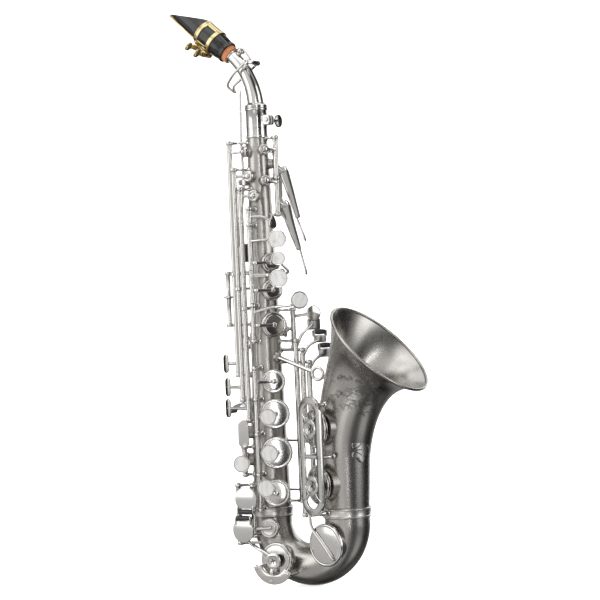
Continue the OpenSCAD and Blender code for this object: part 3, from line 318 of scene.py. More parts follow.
def islands(mesh):
    """Groups of polygons that touch, by welded corners."""
    parent = list(range(len(mesh.polygons)))

    def root(a):
        while parent[a] != a:
            parent[a] = parent[parent[a]]
            a = parent[a]
        return a

    owner = {}
    for p in mesh.polygons:
        for v in p.vertices:
            c = mesh.vertices[v].co
            k = (round(c.x, 6), round(c.y, 6), round(c.z, 6))
            if k in owner:
                a, b = root(owner[k]), root(p.index)
                if a != b:
                    parent[a] = b
            else:
                owner[k] = p.index
    out = {}
    for p in mesh.polygons:
        out.setdefault(root(p.index), []).append(p.index)
    return list(out.values())


def island_facts(mesh, polys):
    """Volume and the radius of a disc-like island."""
    vol = 0.0
    lo, hi = Vector((1e9,) * 3), Vector((-1e9,) * 3)
    for k in polys:
        vs = [mesh.vertices[v].co for v in mesh.polygons[k].vertices]
        for j in range(1, len(vs) - 1):
            vol += vs[0].dot(vs[j].cross(vs[j + 1])) / 6
        for v in vs:
            lo = Vector(map(min, lo, v))
            hi = Vector(map(max, hi, v))
    c = (lo + hi) / 2
    r = max((mesh.vertices[v].co - c).length for k in polys for v in mesh.polygons[k].vertices)
    return abs(vol), r


def dress(node):
    """Gives a CAD node its material, and its pads and pearls theirs."""
    o = nodes[node]
    mesh = o.data
    mesh.materials.clear()
    mesh.materials.append(MATS[SLOT_OF[node]])
    if SLOT_OF[node] != "silver_keys" or not node.endswith(("_key", "_cup")) or node in NO_PAD:
        return
    mesh.materials.append(MATS["pad_leather"])
    mesh.materials.append(MATS["pearl"])
    groups = islands(mesh)
    facts = [island_facts(mesh, g) for g in groups]
    metal_at = max(range(len(groups)), key=lambda k: facts[k][1])
    for k, g in enumerate(groups):
        if k == metal_at:
            continue
        vol, r = facts[k]
        height = vol / (math.pi * r * r)
        which = 1
        if node in PEARL_KEYS and height < 0.0017:
            which = 2
        for p in g:
            mesh.polygons[p].material_index = which


for name in nodes:
    dress(name)


# ---------------------------------------------------------------- sizes, in millimetres, on the body's axis
BODY_D, BODY_TAPER, BODY_LEN, WALL = 30.6, 0.048, 305.0, 0.8
LEG_GAP, BOW_LEG, BOW_D = 68.0, 12.5, 36.0
BELL_STRAIGHT, BELL_WAIST_D, BELL_CURVE, BELL_LEAN, BELL_D = 40.0, 41.0, 120.0, 45.0, 97.6
NECK_Z, NECK_CURVE, NECK_TURN, NECK_D0, NECK_D1, CORK_LEN = 321.0, 58.0, 50.0, 13.9, 10.5, 16.0
ROD_R, TUBE_R, CHIMNEY_H, PAD_H, PEARL_H = 1.1, 2.2, 2.4, 2.4, 1.5
OPEN, BELL_OPEN, LOW_C_OPEN = 9.0, 4.5, 5.0
GAP, SEAT, CUP_WALL, CUP_TOP = 0.05, 0.1, 0.7, 1.0
CUP_H = SEAT + PAD_H + GAP + CUP_TOP
ARM_W, ARM_T = 2.6, 1.6
RECEIVER_R = 8.8

LH, RH = (19.5, -88), (25, -82)
HIGH_E, SIDE_C, SIDE_BB, BACK = (23, -146), (22, -126), (21, -108), (22, -129.5)
PALM, PALM_D, G_SHARP, C_SHARP = (16.5, 0), (16.5, 64), (24, 48), (26.2, 6.6)
LOW_B, LOW_BB, CS_KEY = (30.6, 11.3), (35.2, 14.8), (40.5, -20.2)
LOW_EB, LOW_C, BODY_OCT = (24.3, -98.3), (27.6, -136.5), (15.5, 128)

TH_B, TH_A, TH_G = (-34, 196, 7.9), (-34, 174, 8.6), (-34, 146, 10.4)
TH_BIS, TH_GS = (4, 185.8, 5.3), (28, 142, 6.5)
TH_FS, TH_F, TH_E, TH_D = (-46, 101, 9.6), (-46, 75, 12), (-46, 44, 12.9), (-50, 12, 11)
TH_PF, TH_PEB, TH_PD = (-36, 287, 4.6), (-36, 262, 4.6), (32, 276, 4.6)
TH_HE, TH_SC, TH_SBB = (-120, 286, 4.6), (-100, 266, 4.8), (-82, 250, 5)
TH_HF, TH_AF, TH_OCT = (-155, 60, 6), (-155, 38, 6), (160, 290, 3.4)


def rad(a):
    return math.radians(a)


def body_r(z):
    return (BODY_D - BODY_TAPER * z) / 2


def polar(h, z=0.0):
    return Vector((h[0] * math.cos(rad(h[1])), h[0] * math.sin(rad(h[1])), z))


def spot(r, a, z):
    return polar((r, a), z)


def rim_of(hole):
    return body_r(hole[1]) + CHIMNEY_H


def bell_x(z):
    return LEG_GAP + (BELL_CURVE * (1 - math.cos(math.asin((z - BELL_STRAIGHT) / BELL_CURVE)))
                      if z > BELL_STRAIGHT else 0)


BELL_HOLE, LOW_B_Z, LOW_BB_Z = -113, 64.0, 19.5
FAR_B = (Vector((bell_x(LOW_B_Z), 0, LOW_B_Z)), BELL_HOLE, 15.5, 22.6)
FAR_BB = (Vector((LEG_GAP, 0, LOW_BB_Z)), BELL_HOLE, 15.5, 19.4)
FAR_CS = (Vector((64.3, 0, -28)), -103, 17, 17.6)
FAR_C = (Vector((14.5, 0, -40.4)), -85, 14, 16.6)
FAR_EB = (Vector((0.2, 0, -16)), -70, 8, 15.5)


def T(*p):
    return Matrix.Translation(Vector(p[0]) if len(p) == 1 else Vector(p))


def R(a, axis):
    return Matrix.Rotation(rad(a), 4, axis)


def on_hole(hole):
    return T(0, 0, hole[1]) @ R(hole[0], "Z") @ T(rim_of(hole), 0, 0) @ R(90, "Y")


def far_cup(hole):
    return T(hole[0]) @ R(hole[1], "Z") @ R(90, "Y") @ T(0, 0, hole[3] + CHIMNEY_H)


def at_touch(p, angle):
    return T(p) @ R(angle, "Z") @ R(90, "Y")


def swung(hinge, angle):
    h = polar(hinge)
    return T(h) @ R(angle, "Z") @ T(-h)


def over_cup(hole, d, along=0.0, up=0.0):
    a = rad(hole[1])
    return (hole[0] + (hole[3] + CHIMNEY_H + CUP_H + d) * Vector((math.cos(a), math.sin(a), 0))
            + along * Vector((-math.sin(a), math.cos(a), 0)) + Vector((0, 0, up)))


def behind(p, angle, d):
    return Vector(p) - d * Vector((math.cos(rad(angle)), math.sin(rad(angle)), 0))


# ---------------------------------------------------------------- mesh building
class Piece:
    """One mesh object. Shapes are added in body-axis millimetres; M is the matrix they are placed by."""

    def __init__(self, name, M=None):
        self.name, self.M = name, M or Matrix.Identity(4)
        self.v, self.f, self.k, self.mats = [], [], [], []

    def add(self, verts, faces, mat, M=None):
        base = len(self.v)
        if mat not in self.mats:
            self.mats.append(mat)
        k = self.mats.index(mat)
        full = self.M @ M if M is not None else self.M
        self.v += [full @ Vector(p) for p in verts]
        self.f += [[base + i for i in f] for f in faces]
        self.k += [k] * len(faces)

    def lathe(self, profile, M, mat, seg=48):
        """Revolves (radius, height) points; points of radius 0 are poles."""
        verts, rings, faces = [], [], []
        for r, z in profile:
            if r < 1e-6:
                rings.append([len(verts)])
                verts.append((0, 0, z))
            else:
                rings.append(list(range(len(verts), len(verts) + seg)))
                verts += [(r * math.cos(2 * math.pi * i / seg), r * math.sin(2 * math.pi * i / seg), z)
                          for i in range(seg)]
        pairs = list(zip(rings, rings[1:]))
        if len(rings[0]) > 1 and len(rings[-1]) > 1:
            pairs.append((rings[-1], rings[0]))
        for a, b in pairs:
            for i in range(seg):
                j = (i + 1) % seg
                if len(a) == 1 and len(b) == 1:
                    continue
                if len(a) == 1:
                    faces.append([a[0], b[j], b[i]])
                elif len(b) == 1:
                    faces.append([a[i], a[j], b[0]])
                else:
                    faces.append([a[i], a[j], b[j], b[i]])
        self.add(verts, faces, mat, M)

    def sweep(self, path, width, mat, thick=None, up=None, seg=16, ends=True, power=2.0, round_by=4.0,
              M=None):
        """A bar along a path with rounded corners. width and thick are diameters, or (start, end) pairs."""
        pts = soften(path, round_by)
        n = len(pts)
        w = width if isinstance(width, tuple) else (width, width)
        t = w if thick is None else (thick if isinstance(thick, tuple) else (thick, thick))
        length = [0.0]
        for a, b in zip(pts, pts[1:]):
            length.append(length[-1] + (b - a).length)
        side = None
        rows = []
        for i, p in enumerate(pts):
            d = (pts[min(i + 1, n - 1)] - pts[max(i - 1, 0)]).normalized()
            if up is not None:
                u = (Vector(up) - d * d.dot(Vector(up))).normalized()
            elif side is None:
                u = d.orthogonal().normalized()
            else:
                u = (side - d * d.dot(side)).normalized()
            side = u
            s = length[i] / length[-1]
            rows.append((p, d, u, (w[0] + (w[1] - w[0]) * s) / 2, (t[0] + (t[1] - t[0]) * s) / 2))
        if ends:
            first, last = rows[0], rows[-1]
            lead = [(first[0] - first[1] * first[4] * 0.6 * (1 - q), first[1], first[2], first[3] * f,
                     first[4] * f)
                    for q, f in ((0.0, 0.45), (0.35, 0.78), (0.7, 0.95))]
            tail = [(last[0] + last[1] * last[4] * 0.6 * (1 - q), last[1], last[2], last[3] * f, last[4] * f)
                    for q, f in ((0.7, 0.95), (0.35, 0.78), (0.0, 0.45))]
            rows = lead + rows + tail
        verts, faces = [], []
        for p, d, u, a, b in rows:
            v = d.cross(u)
            for i in range(seg):
                q = 2 * math.pi * i / seg
                c, s = math.cos(q), math.sin(q)
                c = math.copysign(abs(c) ** (2 / power), c)
                s = math.copysign(abs(s) ** (2 / power), s)
                verts.append(p + u * (a * c) + v * (b * s))
        for r in range(len(rows) - 1):
            for i in range(seg):
                j = (i + 1) % seg
                faces.append([r * seg + i, r * seg + j, (r + 1) * seg + j, (r + 1) * seg + i])
        faces.append(list(range(seg))[::-1])
        faces.append([(len(rows) - 1) * seg + i for i in range(seg)])
        self.add(verts, faces, mat, M)

    def plate(self, loops, thick, M, mat, bev=0.3, bend=0.0):
        """A flat plate with rounded edges from closed outlines in its xy plane, centred on z = 0."""
        cu = bpy.data.curves.new("outline", "CURVE")
        cu.dimensions, cu.fill_mode = "2D", "BOTH"
        bev = min(bev, thick * 0.45)
        cu.extrude, cu.bevel_depth, cu.bevel_resolution, cu.offset = thick / 2 - bev, bev, 2, -bev
        for loop in loops:
            s = cu.splines.new("POLY")
            s.points.add(len(loop) - 1)
            for q, (x, y) in zip(s.points, loop):
                q.co = (x, y, 0, 1)
            s.use_cyclic_u = True
        o = bpy.data.objects.new("outline", cu)
        me = bpy.data.meshes.new_from_object(o)
        if bend:
            bm = bmesh.new()
            bm.from_mesh(me)
            bmesh.ops.triangulate(bm, faces=bm.faces[:])
            for _ in range(2):
                long = [e for e in bm.edges if e.calc_length() > 1.6]
                bmesh.ops.subdivide_edges(bm, edges=long, cuts=1)
                bmesh.ops.triangulate(bm, faces=bm.faces[:])
            bm.to_mesh(me)
            bm.free()
        verts = [(v.co.x, v.co.y, v.co.z + bend * v.co.x * v.co.x) for v in me.vertices]
        self.add(verts, [list(p.vertices) for p in me.polygons], mat, M)
        bpy.data.objects.remove(o)
        bpy.data.curves.remove(cu)
        bpy.data.meshes.remove(me)

    def build(self, body, *stood_for, slot=None, sharp=38.0, weld=True):
        me = bpy.data.meshes.new(self.name)
        me.from_pydata([F(*p) for p in self.v], [], self.f)
        for m in self.mats:
            me.materials.append(MATS[m])
        me.polygons.foreach_set("material_index", self.k)
        if weld:
            bm = bmesh.new()
            bm.from_mesh(me)
            bmesh.ops.remove_doubles(bm, verts=bm.verts[:], dist=2e-6)
            bmesh.ops.recalc_face_normals(bm, faces=bm.faces[:])
            bm.to_mesh(me)
            bm.free()
        me.polygons.foreach_set("use_smooth", [True] * len(me.polygons))
        me.set_sharp_from_angle(angle=rad(sharp))
        me.validate()
        o = bpy.data.objects.new(self.name, me)
        bpy.context.scene.collection.objects.link(o)
        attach(o, body)
        if stood_for:
            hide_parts(*stood_for)
        return o


def soften(path, round_by):
    """A path with its corners rounded."""
    p = [Vector(q) for q in path]
    out = [p[0]]
    for a, b, c in zip(p, p[1:], p[2:]):
        k = min(round_by, (a - b).length * 0.45, (c - b).length * 0.45)
        s, e = b + (a - b).normalized() * k, b + (c - b).normalized() * k
        for i in range(9):
            t = i / 8
            out.append(s * (1 - t) ** 2 + b * 2 * t * (1 - t) + e * t * t)
    out.append(p[-1])
    dense = [out[0]]
    for a, b in zip(out, out[1:]):
        n = max(1, int((b - a).length / 3.0))
        dense += [a + (b - a) * (i + 1) / n for i in range(n)]
    clean = [dense[0]]
    for q in dense[1:]:
        if (q - clean[-1]).length > 1e-4:
            clean.append(q)
    return clean


def turns(n):
    """n angles in radians, evenly round a circle."""
    return [2 * math.pi * i / n for i in range(n)]


def on_circle(r, angle, cx=0.0, cy=0.0):
    return cx + r * math.cos(rad(angle)), cy + r * math.sin(rad(angle))


def circle2(r, cx=0.0, cy=0.0, n=48):
    return [(cx + r * math.cos(2 * math.pi * i / n),
             cy + r * math.sin(2 * math.pi * i / n)) for i in range(n)]


def stadium2(length, width, n=20, cx=0.0, cy=0.0):
    h, r = (length - width) / 2, width / 2
    a = [on_circle(r, -90 + 180 * i / n, cx + h, cy) for i in range(n + 1)]
    b = [on_circle(r, 90 + 180 * i / n, cx - h, cy) for i in range(n + 1)]
    return a + b


def rounded2(w, h, r, cx=0.0, cy=0.0, n=8):
    out = []
    for sx, sy, a0 in ((1, 1, 0), (-1, 1, 90), (-1, -1, 180), (1, -1, 270)):
        for i in range(n + 1):
            a = rad(a0 + 90 * i / n)
            out.append((cx + sx * (w / 2 - r) + r * math.cos(a), cy + sy * (h / 2 - r) + r * math.sin(a)))
    return out


def drop2(length, width, n=40):
    """A long teardrop, its round end at +x."""
    out = []
    for i in range(n):
        a = 2 * math.pi * i / n
        x = math.cos(a)
        w = (0.62 + 0.38 * x) if x < 0.6 else (0.62 + 0.38 * 0.6 + (1 - 0.848) * (x - 0.6) / 0.4)
        out.append((x * length / 2, math.sin(a) * width / 2 * min(1.0, w + 0.12)))
    return out


# ---------------------------------------------------------------- shapes that the keys share
K, PADM, PEARLM, BLACK, FELTM, STEEL = ("silver_keys", "pad_leather", "pearl", "black_plastic", "felt",
                                        "steel_rod")


def cup(P, r, M, boss=True):
    """A pad cup with a rolled lower edge, a stepped shoulder and a shallow crown, and its pad."""
    top, low = CUP_H, SEAT + 0.9
    P.lathe([(0, top + 0.22), (r * 0.3, top + 0.19), (r - 3.0, top + 0.02), (r - 2.55, top - 0.06),
             (r - 2.3, top - 0.32), (r - 1.95, top - 0.36), (r - 1.7, top - 0.24), (r - 1.2, top - 0.21),
             (r - 0.75, top - 0.33), (r - 0.35, top - 0.66), (r - 0.08, top - 1.15), (r - 0.04, low + 0.42),
             (r, low + 0.3), (r, low + 0.08), (r - 0.1, low), (r - CUP_WALL + 0.08, low),
             (r - CUP_WALL, low + 0.08), (r - CUP_WALL, top - CUP_TOP), (0, top - CUP_TOP)], M, K, 64)
    q = r - CUP_WALL - GAP
    P.lathe([(0, SEAT + PAD_H), (q, SEAT + PAD_H), (q, SEAT + 0.5), (q - 0.12, SEAT + 0.2), (q - 0.5, SEAT),
             (0, SEAT)],
            M, PADM, 56)


def hinge_tube(P, hinge, z0, z1):
    M = T(polar(hinge, z0))
    h = z1 - z0
    r, c = TUBE_R, 0.12
    f = min(1.3, h * 0.25)
    P.lathe([(ROD_R + 0.05, 0), (r, 0), (r + c, 0.15), (r + c, f - 0.15), (r, f), (r, f + 0.25),
             (r - 0.1, f + 0.35), (r - 0.1, h - f - 0.35), (r, h - f - 0.25), (r, h - f),
             (r + c, h - f + 0.15), (r + c, h - 0.15), (r, h), (ROD_R + 0.05, h)], M, K, 32)


def cup_arm(P, hinge, hole, z=None, via=None):
    h = polar((hinge[0], hinge[1] - hole[0]))
    top = rim_of(hole) + CUP_H + ARM_T / 2 - 0.2
    knee = (top, h.y * 0.93) if h.x < top - 1 else (top, math.copysign(hole[2] * 0.55, h.y))
    z = hole[1] if z is None else z
    mids = [knee] if via is None else via
    pts = [(h.x, h.y, 0)] + [(x, y, 0) for x, y in mids] + [(top, 0, 0)]
    M = T(0, 0, z) @ R(hole[0], "Z")
    P.sweep(pts, (ARM_W + 0.5, ARM_W - 0.5), K, thick=(ARM_T + 0.1, ARM_T - 0.2), up=(0, 0, 1), power=3.2,
            round_by=2.6, M=M)
    P.lathe([(0, 0.95), (1.0, 0.9), (1.8, 0.65), (2.2, 0.2), (2.2, -0.7), (0, -0.7)],
            T(0, 0, hole[1]) @ R(hole[0], "Z") @ T(top, 0, 0) @ R(90, "Y"), K, 32)


def far_arm(P, points, d):
    P.sweep(points, (d + 0.3, d - 0.3), K, thick=(d, d - 0.5), power=2.6, round_by=5.0, seg=18)


def bar(P, points, d, taper=0.86, round_by=5.0):
    P.sweep(points, (d, d * taper), K, round_by=round_by, seg=18)


def touch(P, p, r, angle):
    """A finger touch: a spun metal holder and its pearl, dished in the middle."""
    M = at_touch(p, angle)
    P.lathe([(0, -1.2), (r - 1.4, -1.2), (r - 0.6, -0.95), (r - 0.12, -0.35), (r, 0.1), (r, 0.75),
             (r - 0.1, 1.0), (r - 0.35, 1.1), (r - 0.8, 1.03), (r - 0.95, 0.85), (r - 0.95, 0), (0, 0)], M,
            K, 56)
    q = r - 0.95 - GAP
    P.lathe([(0, GAP), (q, GAP), (q, PEARL_H * 0.72), (q - 0.18, PEARL_H * 0.86), (q - 0.6, PEARL_H * 0.93),
             (q - 1.3, PEARL_H * 0.9), (r * 0.45, PEARL_H * 0.78), (r * 0.2, PEARL_H * 0.72),
             (0, PEARL_H * 0.7)],
            M, PEARLM, 56)


def slot_screw(P, M, r, h, mat=STEEL):
    """A cheese-head screw with a slot."""
    P.lathe([(0, h - 0.35), (r, h - 0.35), (r, 0), (0, 0)], M, mat, 24)
    g = r * 0.16
    a0 = math.asin(g / r)
    for s in (0, 180):
        arc = [a0 + (math.pi - 2 * a0) * i / 12 for i in range(13)]
        loop = [(r * math.cos(a), r * math.sin(a)) for a in arc]
        P.plate([loop], 0.4, M @ T(0, 0, h - 0.18) @ R(s, "Z"), mat, bev=0.09)


def key(name, hinge, hole, z0, z1, swing=0.0, arm_z=None, via=None):
    P = Piece("looks_" + name, swung(hinge, swing) if swing else None)
    hinge_tube(P, hinge, z0, z1)
    cup(P, hole[2], on_hole(hole))
    cup_arm(P, hinge, hole, arm_z, via)
    return P


def far_key(name, hinge, hole, z0, z1, points, d, swing=0.0):
    P = Piece("looks_" + name, swung(hinge, swing) if swing else None)
    hinge_tube(P, hinge, z0, z1)
    cup(P, hole[2], far_cup(hole))
    far_arm(P, points, d)
    return P


# ---------------------------------------------------------------- keys of the left hand
LP, LPA = (21.4, -10.9), -46
b_p, bis_p, a_p, g_p = (*LP, 214.5), (22.2, -11.2, 199), (*LP, 183), (31, 2.5, 165)

P = key("b_key", LH, TH_B, 190.2, 224.8, -OPEN)
bar(P, [polar(LH, 213.5), (12.5, -17.2, 214), behind(b_p, LPA, 1.4)], 2.6)
touch(P, b_p, 7.5, LPA)
P.build("b_key", "b_key")

P = key("bis_key", LH, TH_BIS, 184.2, 189.8, -OPEN, 186, [(10.1, -14.2), (17.4, -6.5)])
bar(P, [(17.6, 1, 186), (24.5, -0.5, 188), behind(bis_p, LPA, 1.4) - Vector((0, 0, 2))], 2.4)
touch(P, bis_p, 5.7, LPA)
P.build("bis_key", "bis_key")

P = key("a_key", LH, TH_A, 164, 183.8, -OPEN)
bar(P, [(14.8, -10.8, 174), behind(a_p, LPA, 1.4) - Vector((0, 0, 2))], 2.6)
touch(P, a_p, 7.5, LPA)
P.build("a_key", "a_key")

P = key("g_key", LH, TH_G, 135.2, 160.1, -OPEN)
bar(P, [polar(LH, 156.5), (13.5, -12.4, 160), behind(g_p, -40, 1.4) - Vector((0, 0, 3.4))], 2.6)
touch(P, g_p, 7.1, -40)
P.build("g_key", "g_key")

P = key("g_sharp_key", G_SHARP, TH_GS, 127.2, 155.8)
GST = Vector((33, 22, 154))
bar(P, [polar(G_SHARP, 152), GST], 2.6)
P.lathe([(0, 0.9), (5.2, 0.86), (6.0, 0.65), (6.4, 0.2), (6.4, -0.3), (6.0, -0.8), (5.2, -0.9), (0, -0.9)],
        T(GST) @ R(-35, "Z") @ R(90, "Y"), K, 48)
P.build("g_sharp_key", "g_sharp_key")

P = Piece("looks_front_f_key")
hinge_tube(P, LH, 228.2, 237.8)
bar(P, [polar(LH, 233), (12, -16.5, 233), (18.5, -13, 228)], 2.4)
P.plate([drop2(12, 8)], 1.8, T(18.8, -13.4, 228.4) @ R(-46, "Z") @ R(6, "Y") @ R(90, "Y"), K, 0.5)
P.build("front_f_key", "front_f_key")


def palm_plate(P, p, angle, tilt):
    P.plate([drop2(22, 8.5)], 1.5, T(p) @ R(angle, "Z") @ R(tilt, "Y") @ R(90, "Y") @ T(0, 0, -0.25), K,
            0.5, bend=0.004)


def palm_arm(P, path, wide):
    """A broad blade that narrows towards the touch, on a round root."""
    a = [Vector(p) for p in path]
    P.sweep([a[0], a[0] + (a[1] - a[0]) * 0.5, a[1]], 3.0, K, seg=18)
    P.sweep([a[1] - (a[1] - a[0]) * 0.35] + a[1:-1] + [a[-1]], (wide, 4.2), K, thick=(2.0, 1.7),
            up=(0.872, 0.489, 0.1), power=3.0, round_by=11, seg=24)


P = key("palm_f_key", PALM, TH_PF, 265.5, 294.8)
palm_arm(P, [polar(PALM, 274), spot(21.5, 10, 269), spot(25, 30, 252), spot(31, 42, 232)], 8.5)
palm_plate(P, spot(33, 42, 223), 42, -18)
P.build("palm_f_key", "palm_f_key")
P = key("palm_eb_key", PALM, TH_PEB, 236.2, 262.1, 0, 260.5)
palm_arm(P, [polar(PALM, 246), spot(21.5, 10, 241), spot(24, 28, 226), spot(31, 43, 206)], 9.5)
palm_plate(P, spot(34, 44, 196), 44, -12)
P.build("palm_eb_key", "palm_eb_key")
P = key("palm_d_key", PALM_D, TH_PD, 264.2, 284.8)
palm_arm(P, [polar(PALM_D, 273), spot(21.5, 74, 267), spot(27, 82, 250)], 7.5)
palm_plate(P, spot(30, 82, 242), 82, -18)
P.build("palm_d_key", "palm_d_key")

# ---------------------------------------------------------------- keys of the right hand
P = key("f_sharp_cup", RH, TH_FS, 88.7, 110.3, -OPEN)
P.build("f_sharp_cup", "f_sharp_cup")
for name, hole, p, r, z0, z1 in (("f_key", TH_F, spot(24.6, -60, 73), 6.8, 60.7, 85.3),
                                 ("e_key", TH_E, spot(24.6, -60, 44), 7.2, 28.7, 57.3),
                                 ("d_key", TH_D, spot(26.5, -68, 16.5), 7.2, 0.9, 25.3)):
    P = key(name, RH, hole, z0, z1, -OPEN)
    bar(P, [polar(RH, p.z), behind(p, -61, 1.4)], 2.6)
    touch(P, p, r, -61)
    P.build(name, name)

for name, hinge, hole, z0, z1, p in (("high_e_key", HIGH_E, TH_HE, 108.2, 291.8, (-29.5, -14.5, 116)),
                                     ("side_c_key", SIDE_C, TH_SC, 88.2, 269.8, (-28.5, -14.8, 97)),
                                     ("side_bb_key", SIDE_BB, TH_SBB, 72.2, 253.8, (-28.5, -15.5, 80))):
    P = key(name, hinge, hole, z0, z1)
    bar(P, [polar(hinge, p[2]), p], 2.8)
    P.plate([stadium2(15, 6.5)], 1.9, T(p) @ R(-118, "Z") @ R(90, "Y"), K, 0.7)
    P.build(name, name)

P = key("high_f_sharp_key", BACK, TH_HF, 50.2, 66.8)
bar(P, [polar(BACK, 58), (-8, -27.5, 60)], 2.6)
P.plate([stadium2(22, 9)], 1.8, T(-8, -27.5, 60) @ R(-75, "Z") @ R(90, "Y"), K, 0.6)
P.build("high_f_sharp_key", "high_f_sharp_key")

P = key("alt_f_sharp_key", BACK, TH_AF, 28.2, 46.8)
bar(P, [polar(BACK, 36), behind((-11, -27, 36), -75, 0.9)], 2.2)
touch(P, (-11, -27, 36), 6.9, -75)
P.build("alt_f_sharp_key", "alt_f_sharp_key")

# ---------------------------------------------------------------- low keys
TABLE = -20
CST, LBT, LBBT = Vector((30, 27, 145)), Vector((33, 28, 133)), Vector((37, 29, 121.5))


def ears(P, M, length, reach):
    for s in (-1, 1):
        P.plate([rounded2(3, abs(reach) + 3, 1.1), circle2(0.75, 0, -reach / 2, 20)], 1.0,
                M @ T(0, s * (length / 2 + 0.6), reach / 2) @ R(90, "X"), K, 0.15)


def table_plate(P, p, length, height):
    P.plate([rounded2(length, height, 1.2)], 1.8, T(p) @ R(TABLE, "Z") @ R(90, "X") @ R(90, "Y"), K, 0.5)


P = Piece("looks_low_c_sharp_lever")
hinge_tube(P, C_SHARP, 5.7, 130.8)
bar(P, [polar(C_SHARP, 126.5), (26, 14, 138), CST - Vector((0, 2, 0))], 2.6)
table_plate(P, CST, 13, 9)
bar(P, [polar(C_SHARP, 8), (33, -6, 8)], 2.4)
P.build("low_c_sharp_lever", "low_c_sharp_lever")

P = far_key("low_c_sharp_key", CS_KEY, FAR_CS, -3.8, 12.8,
            [polar(CS_KEY, 2), (44, -18.5, -1), over_cup(FAR_CS, 1, -13, 14), over_cup(FAR_CS, 0.7),
             over_cup(FAR_CS, 0.7, 9, -11)], 2.6)
side = Vector((-math.sin(rad(FAR_CS[1])), math.cos(rad(FAR_CS[1])), 0)) * 1.2 + Vector((0, 0, 1.2))
P.sweep([over_cup(FAR_CS, 0.5, -9, 9) + side * 1.1, over_cup(FAR_CS, 0.5, 8, -10) + side * 1.1], (1.6, 1.2),
        K, seg=12)
P.build("low_c_sharp_key", "low_c_sharp_key")

for name, hinge, hole, z0, z1, at, knee, p, size, up in (
        ("low_b_key", LOW_B, FAR_B, 54.2, 122.8, LOW_B_Z, [118.5, (29, 16, 128)], LBT, (12, 6), 5.6),
        ("low_bb_key", LOW_BB, FAR_BB, 14.2, 112.8, LOW_BB_Z, [108.5, (34.5, 17, 117)], LBBT, (13, 7), 6.1)):
    P = far_key(name, hinge, hole, z0, z1,
                [polar(hinge, at), over_cup(hole, 0.8, -18), over_cup(hole, 0.8, -6.5)], 2.8, -BELL_OPEN)
    bar(P, [polar(hinge, knee[0]), knee[1], p - Vector((0, 2, 1))], 2.6)
    table_plate(P, p, *size)
    ears(P, T(p) @ T(0, 0, up) @ R(TABLE, "Z"), 11, -2.2)
    P.build(name, name)

PY = -30.4


def pinky_plate(P, x, z, up):
    r, cut = 10.0, 7.4
    a = math.asin(cut / r)
    arc = [(-a + (math.pi + 2 * a) * i / 40) for i in range(41)]
    loop = [(r * math.cos(q), up * r * math.sin(q)) for q in arc]
    P.plate([loop], 1.8, T(x, PY, z) @ R(90, "X"), K, 0.55)


P = far_key("low_eb_key", LOW_EB, FAR_EB, -19.8, 16.3,
            [polar(LOW_EB, -16), over_cup(FAR_EB, 0.8, -10.5), over_cup(FAR_EB, 0.95, 2, 0.4)], 2.6)
bar(P, [polar(LOW_EB, 9), (-4.5, PY, 9)], 2.6)
pinky_plate(P, -6.5, 8, 1)
ears(P, T(-7, PY, -1.9) @ R(90, "Z"), 13, 4)
P.build("low_eb_key", "low_eb_key")

P = far_key("low_c_key", LOW_C, FAR_C, -26.5, 16.3,
            [polar(LOW_C, -22.5), over_cup(FAR_C, 1.6, -15, 9), over_cup(FAR_C, 0.9)], 2.8, -LOW_C_OPEN)
bar(P, [polar(LOW_C, -20), (-12.5, PY + 0.4, -16.5)], 2.6)
pinky_plate(P, -8.5, -16.5, -1)
ears(P, T(-8, PY, -6.8) @ R(90, "Z"), 13, -4)
P.build("low_c_key", "low_c_key")


def roller(name, p, angle, length):
    P = Piece("looks_" + name)
    prof, h = [(0, -length / 2 - 1), (0.6, -length / 2 - 1), (0.7, -length / 2 - 0.9),
               (0.7, -length / 2)], length / 2
    prof.append((1.3, -h))
    for i in range(13):
        s = -1 + 2 * i / 12
        z = s * (h - 0.35)
        prof.append((2.2 - 0.38 * s * s, z))
    prof += [(1.3, h), (0.7, h), (0.7, h + 0.9), (0.6, h + 1), (0, h + 1)]
    P.lathe(prof, T(p) @ R(angle, "Z") @ R(90, "X"), BLACK, 32)
    P.build(name, name, slot="black_plastic")


def turned(p, hinge, a):
    return swung(hinge, a) @ Vector(p)


roller("eb_roller", (-7, PY, -1.9), 90, 13)
roller("c_roller", turned((-8, PY, -6.8), LOW_C, -LOW_C_OPEN), 90 - LOW_C_OPEN, 13)
roller("b_roller", turned(LBT + Vector((0, 0, 5.6)), LOW_B, -BELL_OPEN), TABLE - BELL_OPEN, 11)
roller("bb_roller", turned(LBBT + Vector((0, 0, 6.1)), LOW_BB, -BELL_OPEN), TABLE - BELL_OPEN, 11)

# ---------------------------------------------------------------- octave work
OP = Vector((-14.5, 0, 262))
P = Piece("looks_body_octave_key")
hinge_tube(P, BODY_OCT, 280.2, 297.8)
cup(P, TH_OCT[2], on_hole(TH_OCT))
cup_arm(P, BODY_OCT, TH_OCT)
P.build("body_octave_key", "body_octave_key")

P = Piece("looks_octave_lever")
P.lathe([(1.15, -2.9), (2.2, -2.9), (2.3, -2.6), (2.3, 2.6), (2.2, 2.9), (1.15, 2.9)], T(OP) @ R(90, "X"),
        K, 32)
P.sweep([OP, (-17.5, 0, 241), (-21, 0, 228)], (2.6, 3.2), K, round_by=6, seg=18)
P.sweep([OP, (-15.5, 0, 300), (-14.2, 0, 336)], (2.4, 2.0), K, round_by=6, seg=18)
P.plate([stadium2(18, 12)], 1.8, T(-20.5, 0, 219.5) @ R(8, "Y") @ R(90, "Y"), K, 0.6)
P.build("octave_lever", "octave_lever")


def neck_top(a, h):
    return Vector((-NECK_CURVE + (NECK_CURVE + h) * math.cos(rad(a)), 0,
                   NECK_Z + (NECK_CURVE + h) * math.sin(rad(a))))


